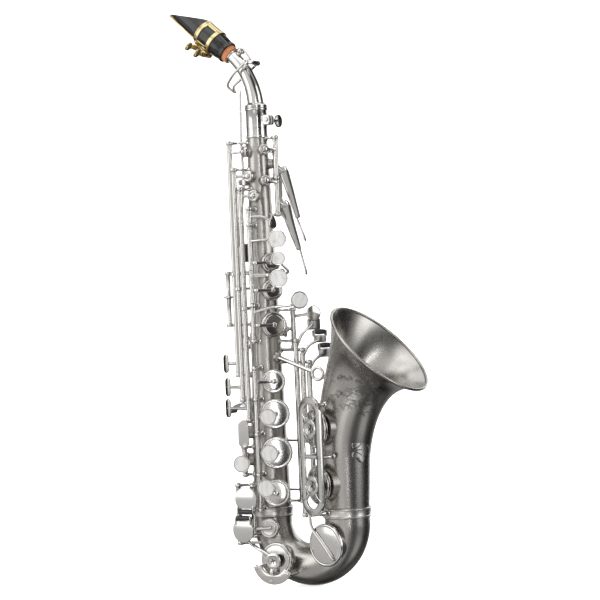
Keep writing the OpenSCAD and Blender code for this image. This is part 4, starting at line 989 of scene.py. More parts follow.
NPV = neck_top(34, 9.4)
P = Piece("looks_neck_octave_key")
P.lathe([(1.15, -10.4), (2.0, -10.4), (2.1, -10.1), (2.1, -8.9), (1.9, -8.6), (1.9, 8.6), (2.1, 8.9),
         (2.1, 10.1), (2.0, 10.4), (1.15, 10.4)], T(NPV) @ R(90, "X"), K, 32)
cup(P, 3.4, T(neck_top(46, 5)) @ R(44, "Y") @ T(0, 0, 1.6))
bar(P, [NPV, neck_top(46, 5 + 1.6 + CUP_H + 1.1)], 2.0)
for s in (-1, 1):
    P.sweep([NPV + Vector((0, s * 9.4, 0)), (-14, s * 9.4, 350), (-24, s * 5, 341), (-19.5, s * 1.0, 336)],
            (2.3, 2.1), K, round_by=7, seg=18)
P.build("neck_octave_key", "neck_octave_key")

# ---------------------------------------------------------------- bow, bell and neck
def tube_surface(P, rows, mat, seg, close=True):
    """rows: (x, z, angle of travel, outer radius, inner radius) in the xz plane."""
    verts, n = [], len(rows)
    for out in (3, 4):
        for g in rows:
            a = rad(g[2])
            for i in range(seg):
                q = 2 * math.pi * i / seg
                u, v = g[out] * math.cos(q), g[out] * math.sin(q)
                verts.append((g[0] - u * math.sin(a), v, g[1] + u * math.cos(a)))
    faces, s = [], n * seg
    for k in range(n - 1):
        for i in range(seg):
            j = (i + 1) % seg
            a, b = k * seg + i, k * seg + j
            faces.append([a, b, b + seg, a + seg])
            faces.append([s + a, s + a + seg, s + b + seg, s + b])
    e = (n - 1) * seg
    for i in range(seg):
        j = (i + 1) % seg
        faces.append([i, s + i, s + j, j])
        faces.append([e + i, e + j, s + e + j, s + e + i])
    P.add(verts, faces, mat)


rows = []
bow_r = LEG_GAP / 2
rows.append((0, 0, -90, BODY_D / 2, BODY_D / 2 - WALL))
for k in range(97):
    t = k / 96
    a = 180 * t
    r = (BODY_D + (BOW_D - BODY_D) * t) / 2
    rows.append((bow_r - bow_r * math.cos(rad(a)), -BOW_LEG - bow_r * math.sin(rad(a)), a - 90, r, r - WALL))
rows.append((LEG_GAP, 0, 90, BOW_D / 2, BOW_D / 2 - WALL))
P = Piece("looks_bow")
tube_surface(P, rows, "silver_bow", 128)
P.build("body", "bow", slot="silver_body")

RIM = 1.1
RIM_R = BELL_D / 2 - RIM


def flare(u):
    return BELL_WAIST_D / 2 + 8 * u + (RIM_R - BELL_WAIST_D / 2 - 8) * u ** 5


def bell_at(u, r, q):
    """A point of the bell: u along the curve, radius r, angle q round the axis."""
    a = rad(BELL_LEAN * u)
    x, z = LEG_GAP + BELL_CURVE * (1 - math.cos(a)), BELL_STRAIGHT + BELL_CURVE * math.sin(a)
    c, s = r * math.cos(q), r * math.sin(q)
    return Vector((x - c * math.cos(a), s, z + c * math.sin(a)))


rows = []
for k in range(9):
    t = k / 8
    r = (BOW_D + (BELL_WAIST_D - BOW_D) * t) / 2
    rows.append((LEG_GAP, 0.05 + (BELL_STRAIGHT - 0.05) * t, 90, r, r - WALL))
for k in range(1, 121):
    u = 0.985 * (k / 120) ** 0.8
    a = BELL_LEAN * u
    rows.append((LEG_GAP + BELL_CURVE * (1 - math.cos(rad(a))),
                 BELL_STRAIGHT + BELL_CURVE * math.sin(rad(a)), 90 - a, flare(u), flare(u) - WALL))
P = Piece("looks_bell")
tube_surface(P, rows, "silver_bell", 176)
# The rolled rim is a bead on the edge
u = 0.988
a = rad(BELL_LEAN * u)
c = Vector((LEG_GAP + BELL_CURVE * (1 - math.cos(a)), 0, BELL_STRAIGHT + BELL_CURVE * math.sin(a)))
bead = [(flare(u) - 0.1 + 1.15 * math.cos(q), 0.35 + 1.15 * math.sin(q)) for q in turns(20)]
P.lathe(bead, T(c) @ R(BELL_LEAN * u, "Y"), "silver_bell", 176)
P.build("body", "bell", slot="silver_body")

rows = []
for k in range(49):
    a = NECK_TURN * k / 48
    r = (NECK_D0 + (NECK_D1 - NECK_D0) * k / 48) / 2
    rows.append((-NECK_CURVE * (1 - math.cos(rad(a))), NECK_Z + NECK_CURVE * math.sin(rad(a)), 90 + a, r,
                 r - WALL))
NE = Vector((-NECK_CURVE * (1 - math.cos(rad(NECK_TURN))), 0, NECK_Z + NECK_CURVE * math.sin(rad(NECK_TURN))))
ND = Vector((math.cos(rad(90 + NECK_TURN)), 0, math.sin(rad(90 + NECK_TURN))))
e = NE + ND * CORK_LEN
rows.append((e.x, e.z, 90 + NECK_TURN, NECK_D1 / 2, NECK_D1 / 2 - WALL))
P = Piece("looks_neck")
tube_surface(P, rows, K, 72)
tr = body_r(BODY_LEN) - WALL - 0.06
z = NECK_Z
P.lathe([(tr - 1.2, z - 13), (tr, z - 13), (tr, z), (RECEIVER_R + 0.3, z), (RECEIVER_R + 0.6, z + 0.25),
         (RECEIVER_R + 0.6, z + 0.9), (RECEIVER_R + 0.25, z + 1.15), (RECEIVER_R + 0.25, z + 1.5),
         (RECEIVER_R + 0.6, z + 1.75), (RECEIVER_R + 0.6, z + 2.4), (RECEIVER_R + 0.3, z + 2.7),
         (NECK_D0 / 2 + 0.9, z + 3.4), (NECK_D0 / 2 + 0.4, z + 4.2), (NECK_D0 / 2 + 0.12, z + 4.4),
         (NECK_D0 / 2 + 0.12, z), (tr - 1.2, z)], T(0, 0, -0.05), K, 72)
P.lathe([(0.8, 0), (2.3, 0), (2.3, 2.0), (2.0, 2.4), (0.8, 2.4)], T(neck_top(46, 4.2)) @ R(44, "Y"), K, 32)
# A ring where the cork begins
M = T(NE + ND * 0.2) @ R(-(90 + NECK_TURN) + 90, "Y")
P.lathe([(NECK_D1 / 2 - 0.1, -1.2), (NECK_D1 / 2 + 0.7, -1.2), (NECK_D1 / 2 + 0.95, -0.9),
         (NECK_D1 / 2 + 0.95, -0.1), (NECK_D1 / 2 + 0.7, 0.2), (NECK_D1 / 2 - 0.1, 0.2)], M, K, 64)
P.build("neck", "neck")

# ---------------------------------------------------------------- posts and rods
POSTS = [
    (LH, [133.5, 161.8, 226.5, 239.5]), (RH, [112, 87, 59, 27, -0.8]), (HIGH_E, [106.5, 293.5]),
    (SIDE_C, [86.5, 271.5]), (SIDE_BB, [70.5, 255.5]), (BACK, [26.5, 48.5, 68.5]),
    (PALM, [234.5, 263.8, 296.5]), (PALM_D, [262.5, 286.5]), (G_SHARP, [125.5, 157.5]),
    (BODY_OCT, [278.5, 299.5]), (C_SHARP, [4, 132.5]), (LOW_EB, [18]), (LOW_C, [18])]
GUIDES = [(HIGH_E, 188), (SIDE_C, 176), (SIDE_BB, 160)]
P = Piece("looks_posts")


def post_head(P, hinge, z):
    prof = [(0, -1.5), (1.7, -1.5)]
    prof += [(math.sqrt(2.75 ** 2 - q * q), q) for q in [-1.42 + 2.84 * i / 10 for i in range(11)]]
    prof += [(1.7, 1.5), (0, 1.5)]
    P.lathe(prof, T(polar(hinge, z)), K, 28)


def post_stem(P, foot, head, d):
    v = head - foot
    n = v.normalized()
    M = T(foot) @ n.to_track_quat("Z", "Y").to_matrix().to_4x4()
    h = v.length
    P.lathe([(0, 0), (2.6, 0), (2.6, 0.7), (2.2, 1.1), (1.5, 1.35), (d / 2 + 0.05, 2.0),
             (d / 2 - 0.1, h * 0.55), (d / 2 + 0.15, h - 2.9), (d / 2 + 0.5, h - 2.3), (0, h - 2.0)], M, K,
            24)


for hinge, zs in POSTS:
    for z in zs:
        head = polar(hinge, z)
        foot = polar((body_r(z) - 0.3, hinge[1]), z)
        if (head - foot).length > 5.2:
            post_stem(P, foot, head, 2.2)
        else:
            P.lathe([(0, 0), (2.6, 0), (2.6, 0.8), (1.9, 1.2), (1.9, (head - foot).length - 1.6),
                     (0, (head - foot).length - 1.2)],
                    T(foot) @ (head - foot).to_track_quat("Z", "Y").to_matrix().to_4x4(), K, 24)
        post_head(P, hinge, z)
for hinge, angle, zs in ((LOW_B, 45, (52, 125)), (LOW_BB, 60, (12, 115))):
    for z in zs:
        post_stem(P, spot(body_r(z) - 0.3, angle, z), polar(hinge, z), 1.9)
        post_head(P, hinge, z)
for hinge, z in GUIDES:
    foot, head = polar((body_r(z) - 0.3, hinge[1]), z), polar(hinge, z)
    n = (head - foot).normalized()
    M = T(foot) @ n.to_track_quat("Z", "Y").to_matrix().to_4x4()
    h = (head - foot).length - TUBE_R - 0.3
    P.lathe([(0, 0), (2.6, 0), (2.6, 0.7), (1.5, 1.3), (1.05, 2.0), (1.05, h - 0.5), (1.4, h), (0, h)], M,
            K, 24)
    r = TUBE_R + 0.12
    P.lathe([(r, -1.5), (r + 0.7, -1.5), (r + 1.0, -1.2), (r + 1.0, 1.2), (r + 0.7, 1.5), (r, 1.5)],
            T(head), K, 32)
for foot, hinge, z, d in (((LEG_GAP - 16, -8, -5.5), CS_KEY, -5.5, 2.6),
                          ((LEG_GAP - 16, -8, 14.5), CS_KEY, 14.5, 2.6),
                          ((-2, -14, -21.5), LOW_EB, -21.5, 2.6), ((-2, -12, -28.2), LOW_C, -28.2, 2.6)):
    post_stem(P, Vector(foot), polar(hinge, z), d)
    post_head(P, hinge, z)
for s in (-1, 1):
    P.plate([rounded2(7.4, 4.7, 1.0)], 2.1, T(OP.x + 1.35, s * 4.2, OP.z) @ R(90, "X"), K, 0.3)
RAIL = (29.5, -165)
for z in (147, 189):
    post_stem(P, polar((body_r(z) - 0.3, RAIL[1]), z), polar(RAIL, z), 2.2)
    post_head(P, RAIL, z)
P.lathe([(0, 146), (1.9, 146), (2.0, 148.7), (1.8, 149.2), (1.8, 168), (2.2, 168.6), (4.0, 169.1),
         (4.25, 169.6), (4.0, 170.1), (2.2, 170.6), (1.8, 171.2), (1.8, 186.8), (2.0, 187.3), (1.9, 190),
         (0, 190)], T(polar(RAIL)), K, 32)
P.build("body", "key_posts")

RODS = [
    (LH, 132, 241), (RH, -2.3, 113.5), (HIGH_E, 105, 295), (SIDE_C, 85, 273), (SIDE_BB, 69, 257),
    (BACK, 25, 70), (PALM, 233, 298), (PALM_D, 261, 288), (G_SHARP, 124, 159), (BODY_OCT, 277, 301),
    (C_SHARP, 2.5, 134), (LOW_B, 50.5, 126.5), (LOW_BB, 10.5, 116.5), (CS_KEY, -7, 16), (LOW_EB, -23, 19.5),
    (LOW_C, -29.7, 19.5)]
P = Piece("looks_rods")
for hinge, z0, z1 in RODS:
    P.lathe([(0, z0), (ROD_R, z0), (ROD_R, z1), (0, z1)], T(polar(hinge)), STEEL, 24)
    slot_screw(P, T(polar(hinge, z1 - 0.05)) @ R(hinge[1] * 3 + z1, "Z"), 1.55, 0.45)
    slot_screw(P, T(polar(hinge, z0 + 0.05)) @ R(180, "X") @ R(hinge[1] * 5, "Z"), 1.55, 0.45)
P.lathe([(0, -5.5), (1.1, -5.5), (1.1, 5.5), (0, 5.5)], T(OP) @ R(90, "X"), STEEL, 24)
for s in (-90, 90):
    slot_screw(P, T(OP) @ R(s, "X") @ T(0, 0, 5.2), 1.7, 0.5)
P.build("body", "hinge_rods", slot="steel_rod")

# Needle springs: each starts in a post and runs along to its key's tube
P = Piece("needle_springs")
for hinge, z0, z1, turn in ((LH, 226.5, 212, 20), (LH, 161.8, 172, 20), (RH, 87, 96, -25), (RH, 59, 70, -25),
                            (RH, 27, 40, -25), (RH, 59, 47, -25), (HIGH_E, 106.5, 124, 15),
                            (SIDE_C, 86.5, 104, 15), (SIDE_BB, 70.5, 88, 15), (PALM, 263.8, 274, -20),
                            (G_SHARP, 125.5, 137, 0), (LOW_B, 52, 66, 0), (LOW_BB, 12, 27, 0)):
    off = polar((hinge[0] - 2.35, hinge[1] + turn * 0.25)) - polar(hinge)
    a, b = polar(hinge, z0) + off, polar(hinge, z1) + off * 1.15
    P.sweep([a, (a + b) / 2 + off * 0.25, b], (0.42, 0.24), "spring_steel", seg=8, round_by=5)
P.build("body", slot="steel_rod")

# ---------------------------------------------------------------- guards and fittings
GUARD_M = T(LEG_GAP + 0.6, 0, 0) @ R(BELL_HOLE, "Z") @ T(33.4, 0, 0) @ R(90, "Z") @ R(90, "X")
P = Piece("looks_bell_guard", GUARD_M)
GH, GLO, GHI, BUMP = 13.0, 9.0, 76.0, 6.4


def arch(half, lo, hi, n=20):
    a = [on_circle(half, 180 * i / n, 0, hi) for i in range(n + 1)]
    b = [on_circle(half, 180 + 180 * i / n, 0, lo) for i in range(n + 1)]
    return a + b


P.plate([arch(GH, GLO, GHI), arch(GH - 5.6, GLO, GHI)], 2.0, T(0, 0, 1.0), K, 0.45)
P.plate([arch(GH + 0.35, GLO, GHI), arch(GH - 0.5, GLO, GHI)], 3.2, T(0, 0, 0.5), K, 0.35)
for y in (LOW_B_Z, LOW_BB_Z):
    P.plate([circle2(BUMP + 1.6, 0, y), circle2(BUMP - 2.4, 0, y)], 2.3, T(0, 0, 1.0), K, 0.5)
    P.lathe([(BUMP + 0.2, 1.9), (BUMP + 0.5, 2.35), (BUMP + 0.9, 2.35), (BUMP + 1.2, 1.9)], T(0, y, 0), K, 48)
    away = 1 if y > 40 else -1
    for s in (-1, 1):
        P.sweep([(s * (BUMP + 0.6), y, 1), (s * (GH - 1.4), y + s * 1.5, 1)], (3.2, 4.6), K, thick=1.8,
                up=(0, 1, 0), power=4, round_by=1)
        web = [(s * 4.6, y + 6.0 * away, 1), (s * 6.6, y + 9.4 * away, 1), (s * (GH - 1.8), y + 12 * away, 1)]
        P.sweep(web, (2.2, 2.6), K, thick=1.7, up=(0, 0, 1), power=4, round_by=3)
    # Felt holder: a threaded cup with a cross slot, the slot drawn as two thin black strips of painted shade
    P.lathe([(0, 1.5), (2.9, 1.5), (3.4, 1.7), (3.9, 1.75), (3.98, 1.3), (3.98, 0.4), (0, 0.4)], T(0, y, 0),
            K, 40)
    for a in (38, 128):
        P.plate([rounded2(5.4, 0.75, 0.3)], 0.12, T(0, y, 1.54) @ R(a, "Z"), BLACK, 0.03)
P.sweep([(-GH + 1.5, 42.2, 1), (0, 42.2, 1.1), (GH - 1.5, 42.2, 1)], 3.4, K, thick=1.9, up=(0, 1, 0), power=4)
for x, y, h in ((GH - 2, 83, 6.3), (-GH + 2, 42, 12.7), (GH - 2, 42, 12.7), (0, -3, 14.1)):
    P.lathe([(0, -h), (2.5, -h), (2.5, -h + 0.7), (1.7, -h + 1.6), (1.35, -h / 2), (1.7, 0.2), (1.7, 0.6),
             (0, 0.6)],
            T(x, y, 0), K, 24)
    slot_screw(P, T(x, y, 2.0) @ R(30, "Z"), 1.7, 0.45, K)
P.build("body", "bell_key_guard")

LOW_GUARD_M = T(16.5, -30, -40.4) @ R(90, "X")
P = Piece("looks_low_c_guard", LOW_GUARD_M)
ARC_OUT, ARC_IN, a0, a1 = 18.6, 11.4, -165, -30
outer = [on_circle(ARC_OUT, a0 + (a1 - a0) * i / 40) for i in range(41)]
inner = [on_circle(ARC_IN, a1 + (a0 - a1) * i / 40) for i in range(41)]
P.plate([outer + inner], 1.8, T(0, 0, 0.9), K, 0.4)
P.plate([circle2(BUMP), circle2(BUMP - 2.6)], 1.95, T(0, 0, 0.9), K, 0.45)
spoke = -100
P.sweep([(*on_circle(BUMP, spoke), 0.9), (*on_circle(15, spoke), 0.9)], (3.0, 4.2), K, thick=1.7,
        up=(math.sin(rad(spoke)), -math.cos(rad(spoke)), 0), power=4, round_by=1)
P.lathe([(0, 1.3), (2.4, 1.3), (2.9, 1.55), (3.6, 1.6), (3.78, 1.2), (3.78, 0.2), (0, 0.2)], T(0, 0, 0), K,
        40)
# Painted shade: two thin black strips on the felt holder stand for the shade inside its cross slot.
for a in (20, 110):
    P.plate([rounded2(4.6, 0.7, 0.3)], 0.12, T(0, 0, 1.34) @ R(a, "Z"), BLACK, 0.03)
for a in (-160, -97, -40):
    h = 25 if a == -97 else 19
    M = T(*on_circle(16.6, a), 0)
    P.lathe([(0, -h), (1.6, -h), (1.3, -h / 2), (1.6, -1.2), (2.3, 0), (0, 0)], M, K, 24)
    slot_screw(P, M @ T(0, 0, 1.75) @ R(a, "Z"), 1.6, 0.45, K)
P.build("body", "low_c_guard")

P = Piece("looks_felts")
for y, h in ((LOW_B_Z, 1.7), (LOW_BB_Z, 4.3)):
    P.lathe([(0, -h), (4.2, -h), (4.6, -h + 0.4), (4.65, -h / 2), (4.6, -0.15), (0, -0.05)],
            GUARD_M @ T(0, y, 0), FELTM, 40)
P.lathe([(0, -1.6), (4.2, -1.6), (4.6, -1.3), (4.6, -0.15), (0, -0.05)], LOW_GUARD_M, FELTM, 40)
P.build("body", "guard_bumpers", slot="felt")

# Strap ring with its foot plate, two screws and rounded eye
P = Piece("looks_strap_ring")
RZ, RHOLE = RING_Z, 4.5
ring = [(RHOLE + 0.95 + 0.95 * math.cos(q), 1.65 * math.sin(q)) for q in turns(16)]
P.lathe(ring, T(RING_X, 0, RZ) @ R(90, "X"), K, 56)
f = body_r(RZ)
P.sweep([(-f - 0.4, 0, RZ - 3.6), (-f - 0.9, 0, RZ), (-f - 0.4, 0, RZ + 3.6)], 3.0, K, thick=2.0,
        up=(0, 1, 0), power=3)
M = R(180, "Z") @ T(f + 0.25, 0, RZ) @ R(90, "Y")
P.plate([rounded2(18, 7, 2.4)], 0.9, M, K, 0.3)
for s in (-1, 1):
    slot_screw(P, M @ T(s * 6.6, 0, 0.75) @ R(40, "Z"), 1.6, 0.5)
P.build("body", "strap_ring")

# Thumb hook: foot plate, adjusting screw and the curved blade
P = Piece("looks_thumb_hook")
f = body_r(74)
M = R(180, "Z") @ T(f + 0.5, 0, 74) @ R(90, "Y")
P.plate([stadium2(26, 8)], 1.4, M, K, 0.35)
for s in (-1, 1):
    slot_screw(P, M @ T(s * 9.5, 0, 1.0) @ R(20, "Z"), 1.7, 0.5)
P.lathe([(0, 2.1), (2.2, 2.1), (2.4, 1.9), (2.4, 0), (0, 0)], M @ T(-4, 0, 0.3), K, 32)
H = T(0, 0, 74) @ R(180, "Z") @ R(90, "X") @ T(f + 11, -1, 0) @ R(15, "Z")
arc = [Vector((*on_circle(10.4 - 0.8, 165 * i / 30), 0)) for i in range(31)]
P.sweep(arc, 12.0, K, thick=1.6, up=(0, 0, 1), power=5, round_by=0.1, M=H)
P.build("body", "thumb_hook")

P = Piece("looks_thumb_rest", R(180, "Z") @ T(body_r(205) + 0.15, 0, 205) @ R(90, "Y"))
P.lathe([(0, 8.1), (2.2, 8.15), (4.0, 7.7), (5.3, 7.0), (6.5, 6.1), (7.3, 4.9), (7.55, 3.8), (7.45, 2.4),
         (7.2, 1.2), (6.9, 0.6), (6.4, 0.1), (6.0, 0), (0, 0)], None, BLACK, 56)
P.build("body", "thumb_rest", slot="black_plastic")

# Brace between body and bell: two tapered arms and an open ring
P = Piece("looks_bell_brace")
mid = Vector((50, -6, 106))
a, b = Vector((body_r(120) - 0.4, -3, 120)), Vector((59.5, -4, 100.5))
ring = [(4.8 + 1.2 * math.cos(q), 1.7 * math.sin(q)) for q in turns(16)]
P.lathe(ring, T(mid) @ R(90, "X"), K, 56)
for q in (a, b):
    P.sweep([q, q + (mid - q) * 0.5, mid - (mid - q).normalized() * 5.0], (3.6, 2.9), K, seg=20, power=2.4)
P.lathe([(0, 0), (4.5, 0), (4.5, 0.8), (4.1, 1.2), (2.6, 1.7), (0, 2.0)],
        R(-14, "Z") @ T(body_r(120) - 0.3, 0, 120) @ R(90, "Y"), K, 40)
for s in (-1, 1):
    slot_screw(P, R(-14, "Z") @ T(body_r(120) + 0.9, s * 3.2, 120) @ R(90, "Y"), 0.9, 0.35)
P.build("body", "bell_brace")

# Fan-shaped foot plate on the bell, with three slits drawn as thin dark strips of painted shade
P = Piece("looks_foot_plate")
pz = 46.0
plate_r = flare((pz - BELL_STRAIGHT) / BELL_CURVE / math.sin(rad(BELL_LEAN))) - 0.3
FM = T(bell_x(pz), 0, pz) @ R(-30, "Z") @ T(plate_r, 0, 0)
fan = []
for i in range(120):
    q = 2 * math.pi * i / 120
    r = 7.6 + 1.3 * math.cos(5 * q) + 1.6 * math.cos(q)
    fan.append((r * math.cos(q), 1.15 * r * math.sin(q)))
FAN_BEND = -0.0238
P.plate([fan], 1.1, FM @ R(90, "Y") @ R(90, "Z") @ T(0, 0, 0.75), "silver_bell", 0.45, bend=FAN_BEND)
for s in (-1, 0, 1):
    pts = [Vector((-5.4 + 7.4 * t, s * (1.2 + 3.6 * t * t), 1.36 + FAN_BEND * (-5.4 + 7.4 * t) ** 2)) for t in
           [i / 8 for i in range(9)]]
    P.sweep(pts, (0.9, 0.5), "dark_slit", thick=0.12, up=(0, 1, 0), seg=8, round_by=0.1,
            M=FM @ R(90, "Y") @ R(90, "Z"))
P.build("body", "bell_foot_plate", slot="silver_body")

# ---------------------------------------------------------------- joint rings, receiver and its screw
P = Piece("looks_receiver")
tr0, z0, z1 = body_r(BODY_LEN), BODY_LEN, NECK_Z
seg = 96
gap = math.asin(0.5 / RECEIVER_R)
prof = [(tr0 + 0.03, z0 - 8), (tr0 + 0.9, z0 - 8), (tr0 + 1.25, z0 - 7.6), (tr0 + 1.25, z0 - 6.6),
        (tr0 + 0.9, z0 - 6.3), (tr0 + 0.75, z0 - 4), (RECEIVER_R - 0.1, z0), (RECEIVER_R, z0 + 0.6),
        (RECEIVER_R, z0 + 1)]
upper = [(RECEIVER_R, z0 + 1), (RECEIVER_R, z1 - 2.0), (RECEIVER_R + 0.3, z1 - 1.6),
         (RECEIVER_R + 0.85, z1 - 1.5), (RECEIVER_R + 0.9, z1 - 1.2), (RECEIVER_R + 0.9, z1 - 0.6),
         (RECEIVER_R + 0.7, z1 - 0.3), (tr0 - WALL, z1 - 0.3), (tr0 - WALL, z0 + 1)]
prof.append((tr0 - WALL, z0 + 1))
prof.append((tr0 - WALL, z0 + 0.05))
prof.append((tr0 + 0.03, z0 + 0.05))
P.lathe(prof, None, K, seg)
verts, faces, n = [], [], len(upper)
for i in range(seg + 1):
    q = gap + (2 * math.pi - 2 * gap) * i / seg
    verts += [(r * math.cos(q), r * math.sin(q), z) for r, z in upper]
for i in range(seg):
    for k in range(n):
        j = (k + 1) % n
        faces.append([i * n + k, (i + 1) * n + k, (i + 1) * n + j, i * n + j])
faces.append(list(range(n)))
faces.append([seg * n + k for k in range(n)][::-1])
P.add(verts, faces, K)
for s in (-1, 1):
    M = T(RECEIVER_R + 1.6, s * 2.25, BODY_LEN + 6) @ R(90, "X")
    P.plate([rounded2(7.4, 8, 1.8), circle2(1.35, 1.0, 0, 28)], 3.5, M, K, 0.5)
P.build("body", "neck_receiver")

for name, x, d in (("body_bow_ring", 0, BODY_D), ("bell_bow_ring", LEG_GAP, BOW_D)):
    r = d / 2
    P = Piece("looks_" + name)
    prof = [(r + 0.03, 0), (r + 0.9, 0), (r + 1.1, 0.15)]
    for c in (1.0, 7.0):
        prof += [(r + 1.05 + 0.6 * math.sin(rad(180 * i / 8)), c - 0.75 + 1.5 * i / 8) for i in range(9)]
        prof += [(r + 1.0, 2.3), (r + 0.95, 5.7)] if c < 2 else []
    prof += [(r + 1.1, 7.85), (r + 0.9, 8), (r + 0.03, 8)]
    P.lathe(prof, T(x, 0, -8), "silver_ring", 96)
    P.build("body", name, slot="silver_body")


def knurled(P, M, r, h, n, mat, depth=0.16):
    """A flat round thumb-screw head with a fluted edge and a dished face."""
    seg, verts, faces = n * 6, [], []
    rows = [(r - 1.5, h / 2 - 0.25, 0), (r - 1.0, h / 2 - 0.05, 0), (r - 0.45, h / 2, 0),
            (r - 0.12, h / 2 - 0.15, 0.6), (r, h / 2 - 0.35, 1), (r, -h / 2 + 0.35, 1),
            (r - 0.12, -h / 2 + 0.15, 0.6), (r - 0.45, -h / 2, 0), (r - 1.0, -h / 2 + 0.05, 0),
            (r - 1.5, -h / 2 + 0.25, 0)]
    for rr, z, k in rows:
        for i in range(seg):
            q = 2 * math.pi * i / seg
            w = rr - k * depth * (0.5 + 0.5 * math.cos(n * q))
            verts.append((w * math.cos(q), w * math.sin(q), z))
    for a in range(len(rows) - 1):
        for i in range(seg):
            j = (i + 1) % seg
            faces.append([a * seg + i, (a + 1) * seg + i, (a + 1) * seg + j, a * seg + j])
    verts += [(0, 0, h / 2 - 0.3), (0, 0, -h / 2 + 0.3)]
    e = (len(rows) - 1) * seg
    for i in range(seg):
        j = (i + 1) % seg
        faces.append([len(verts) - 2, i, j])
        faces.append([len(verts) - 1, e + j, e + i])
    P.add(verts, faces, mat, M)


P = Piece("looks_neck_screw", T(RECEIVER_R + 2.6, 0, BODY_LEN + 6) @ R(-90, "X"))
P.lathe([(0, -5), (1.0, -5), (1.3, -4.7), (1.3, 4.1), (2.0, 4.1), (2.2, 4.3), (2.2, 6.1), (2.0, 6.3),
         (1.3, 6.5), (1.15, 8), (1.3, 10.3), (2.0, 10.9), (2.0, 11.4), (0, 11.6)], None, K, 40)
for i in range(9):
    z = -4.4 + i * 0.45
    P.lathe([(1.29, z - 0.12), (1.36, z), (1.29, z + 0.12)], None, K, 24)
knurled(P, T(0, 0, 15.5) @ R(90, "Y"), 5.3, 2.0, 30, K)
P.build("neck_screw", "neck_screw")

LIGM = T(NE) @ R(-(90 + NECK_TURN), "Y") @ T(4.5, 0, 0)
LUG_Z = 9.9 + 0.12 + 3.1

# Ligature: a rolled sheet with a back plate, two straps over each flank and a pair of lugs for each screw
P = Piece("looks_ligature", LIGM)
LIG_R, LIG_T = 10.02, 0.72
cuts_x = [13, 13.2, 13.5, 13.8, 14.1, 15.3, 16.3, 16.6, 18, 19.8, 21.5, 23.2, 25, 26.4, 26.7, 27.7, 28.9,
          29.2, 29.5, 29.8, 30]
cuts_q = [-176, -174, -164, -150, -136, -126, -124] + list(range(-116, -39, 6)) + [-36,
        -34] + list(range(-30, 31, 5))
cuts_q = sorted(set(cuts_q + [-q for q in cuts_q]))


def kept(x, q):
    flank = 34 < abs(q) < 124 and 16.6 < x < 26.4
    slot = abs(q) < 5 and 16.6 < x < 26.4
    return 13 < x < 30 and abs(q) < 176 and not flank and not slot


def near_edge(x, q):
    return not all(kept(x + dx, q + dq) for dx in (-0.05, 0.05) for dq in (-0.3, 0.3))


verts, faces, place = [], [], {}
for i, x in enumerate(cuts_x):
    for j, q in enumerate(cuts_q):
        bead = 0.3 if x < 13.9 or x > 29.1 else 0.0
        top = LIG_R + LIG_T + bead - (0.28 if near_edge(x, q) else 0.0)
        for layer, r in ((0, top), (1, LIG_R)):
            place[i, j, layer] = len(verts)
            verts.append((x, r * math.sin(rad(q)), -r * math.cos(rad(q))))
cells = {(i, j) for i in range(len(cuts_x) - 1) for j in range(len(cuts_q) - 1)
         if kept((cuts_x[i] + cuts_x[i + 1]) / 2, (cuts_q[j] + cuts_q[j + 1]) / 2)}
for i, j in sorted(cells):
    ring = [(i, j), (i + 1, j), (i + 1, j + 1), (i, j + 1)]
    faces.append([place[a, b, 0] for a, b in ring])
    faces.append([place[a, b, 1] for a, b in ring][::-1])
    for (a, b), beyond in zip(zip(ring, ring[1:] + ring[:1]), ((i, j - 1), (i + 1, j), (i, j + 1),
                                                               (i - 1, j))):
        if beyond not in cells:
            faces.append([place[a[0], a[1], 0], place[a[0], a[1], 1], place[b[0], b[1], 1],
                          place[b[0], b[1], 0]])
used = sorted({k for f in faces for k in f})
again = {k: n for n, k in enumerate(used)}
P.add([verts[k] for k in used], [[again[k] for k in f] for f in faces], "gold_plate")
for x in (16.5, 26.5):
    for s in (-1, 1):
        P.lathe([(0, -2), (1.3, -2), (2.5, -2), (2.8, -1.7), (2.8, 1.7), (2.5, 2), (1.3, 2), (0, 2)],
                T(x, s * 3.4, LUG_Z - 0.4) @ R(90, "X"), "gold_plate", 36)
for s in (-1, 1):
    P.sweep([(14.2, s * 3.9, LIG_R + 0.6), (28.8, s * 3.9, LIG_R + 0.6)], 1.5, "gold_plate", seg=16)
P.build("mouthpiece", "ligature", slot="gold_plate")
for name, x in (("ligature_screw_rear", 16.5), ("ligature_screw_front", 26.5)):
    P = Piece("looks_" + name, LIGM @ T(x, 0, LUG_Z) @ R(90, "X"))
    P.lathe([(0, -6), (1.0, -6), (1.2, -5.7), (1.2, 6), (1.8, 6), (1.9, 6.2), (1.9, 8.8), (1.8, 9),
             (1.2, 9.1), (1.1, 9.6), (1.4, 10.3), (1.2, 11), (0, 11.3)], None, "gold_plate", 36)
    knurled(P, T(0, 0, 14) @ R(90, "Y"), 3.9, 1.6, 24, "gold_plate", 0.12)
    P.build(name, name, slot="gold_plate")

# ---------------------------------------------------------------- engraving and seams, as shallow lines
P = Piece("bell_engraving")


def on_bell(u, q, lift=0.02):
    return bell_at(u, flare(u) + lift, q)


def scroll(u, q, size, turn, bend, n=18):
    """A leaf-like curl on the bell, from a point outwards."""
    pts, a, p = [], turn, Vector((0, 0))
    step = size / n
    for i in range(n + 1):
        pts.append(on_bell(u + p.y / BELL_CURVE / rad(BELL_LEAN), q + p.x / flare(u)))
        a += bend * (0.4 + 1.6 * i / n) / n
        p = p + Vector((math.cos(a), math.sin(a))) * step
    return pts


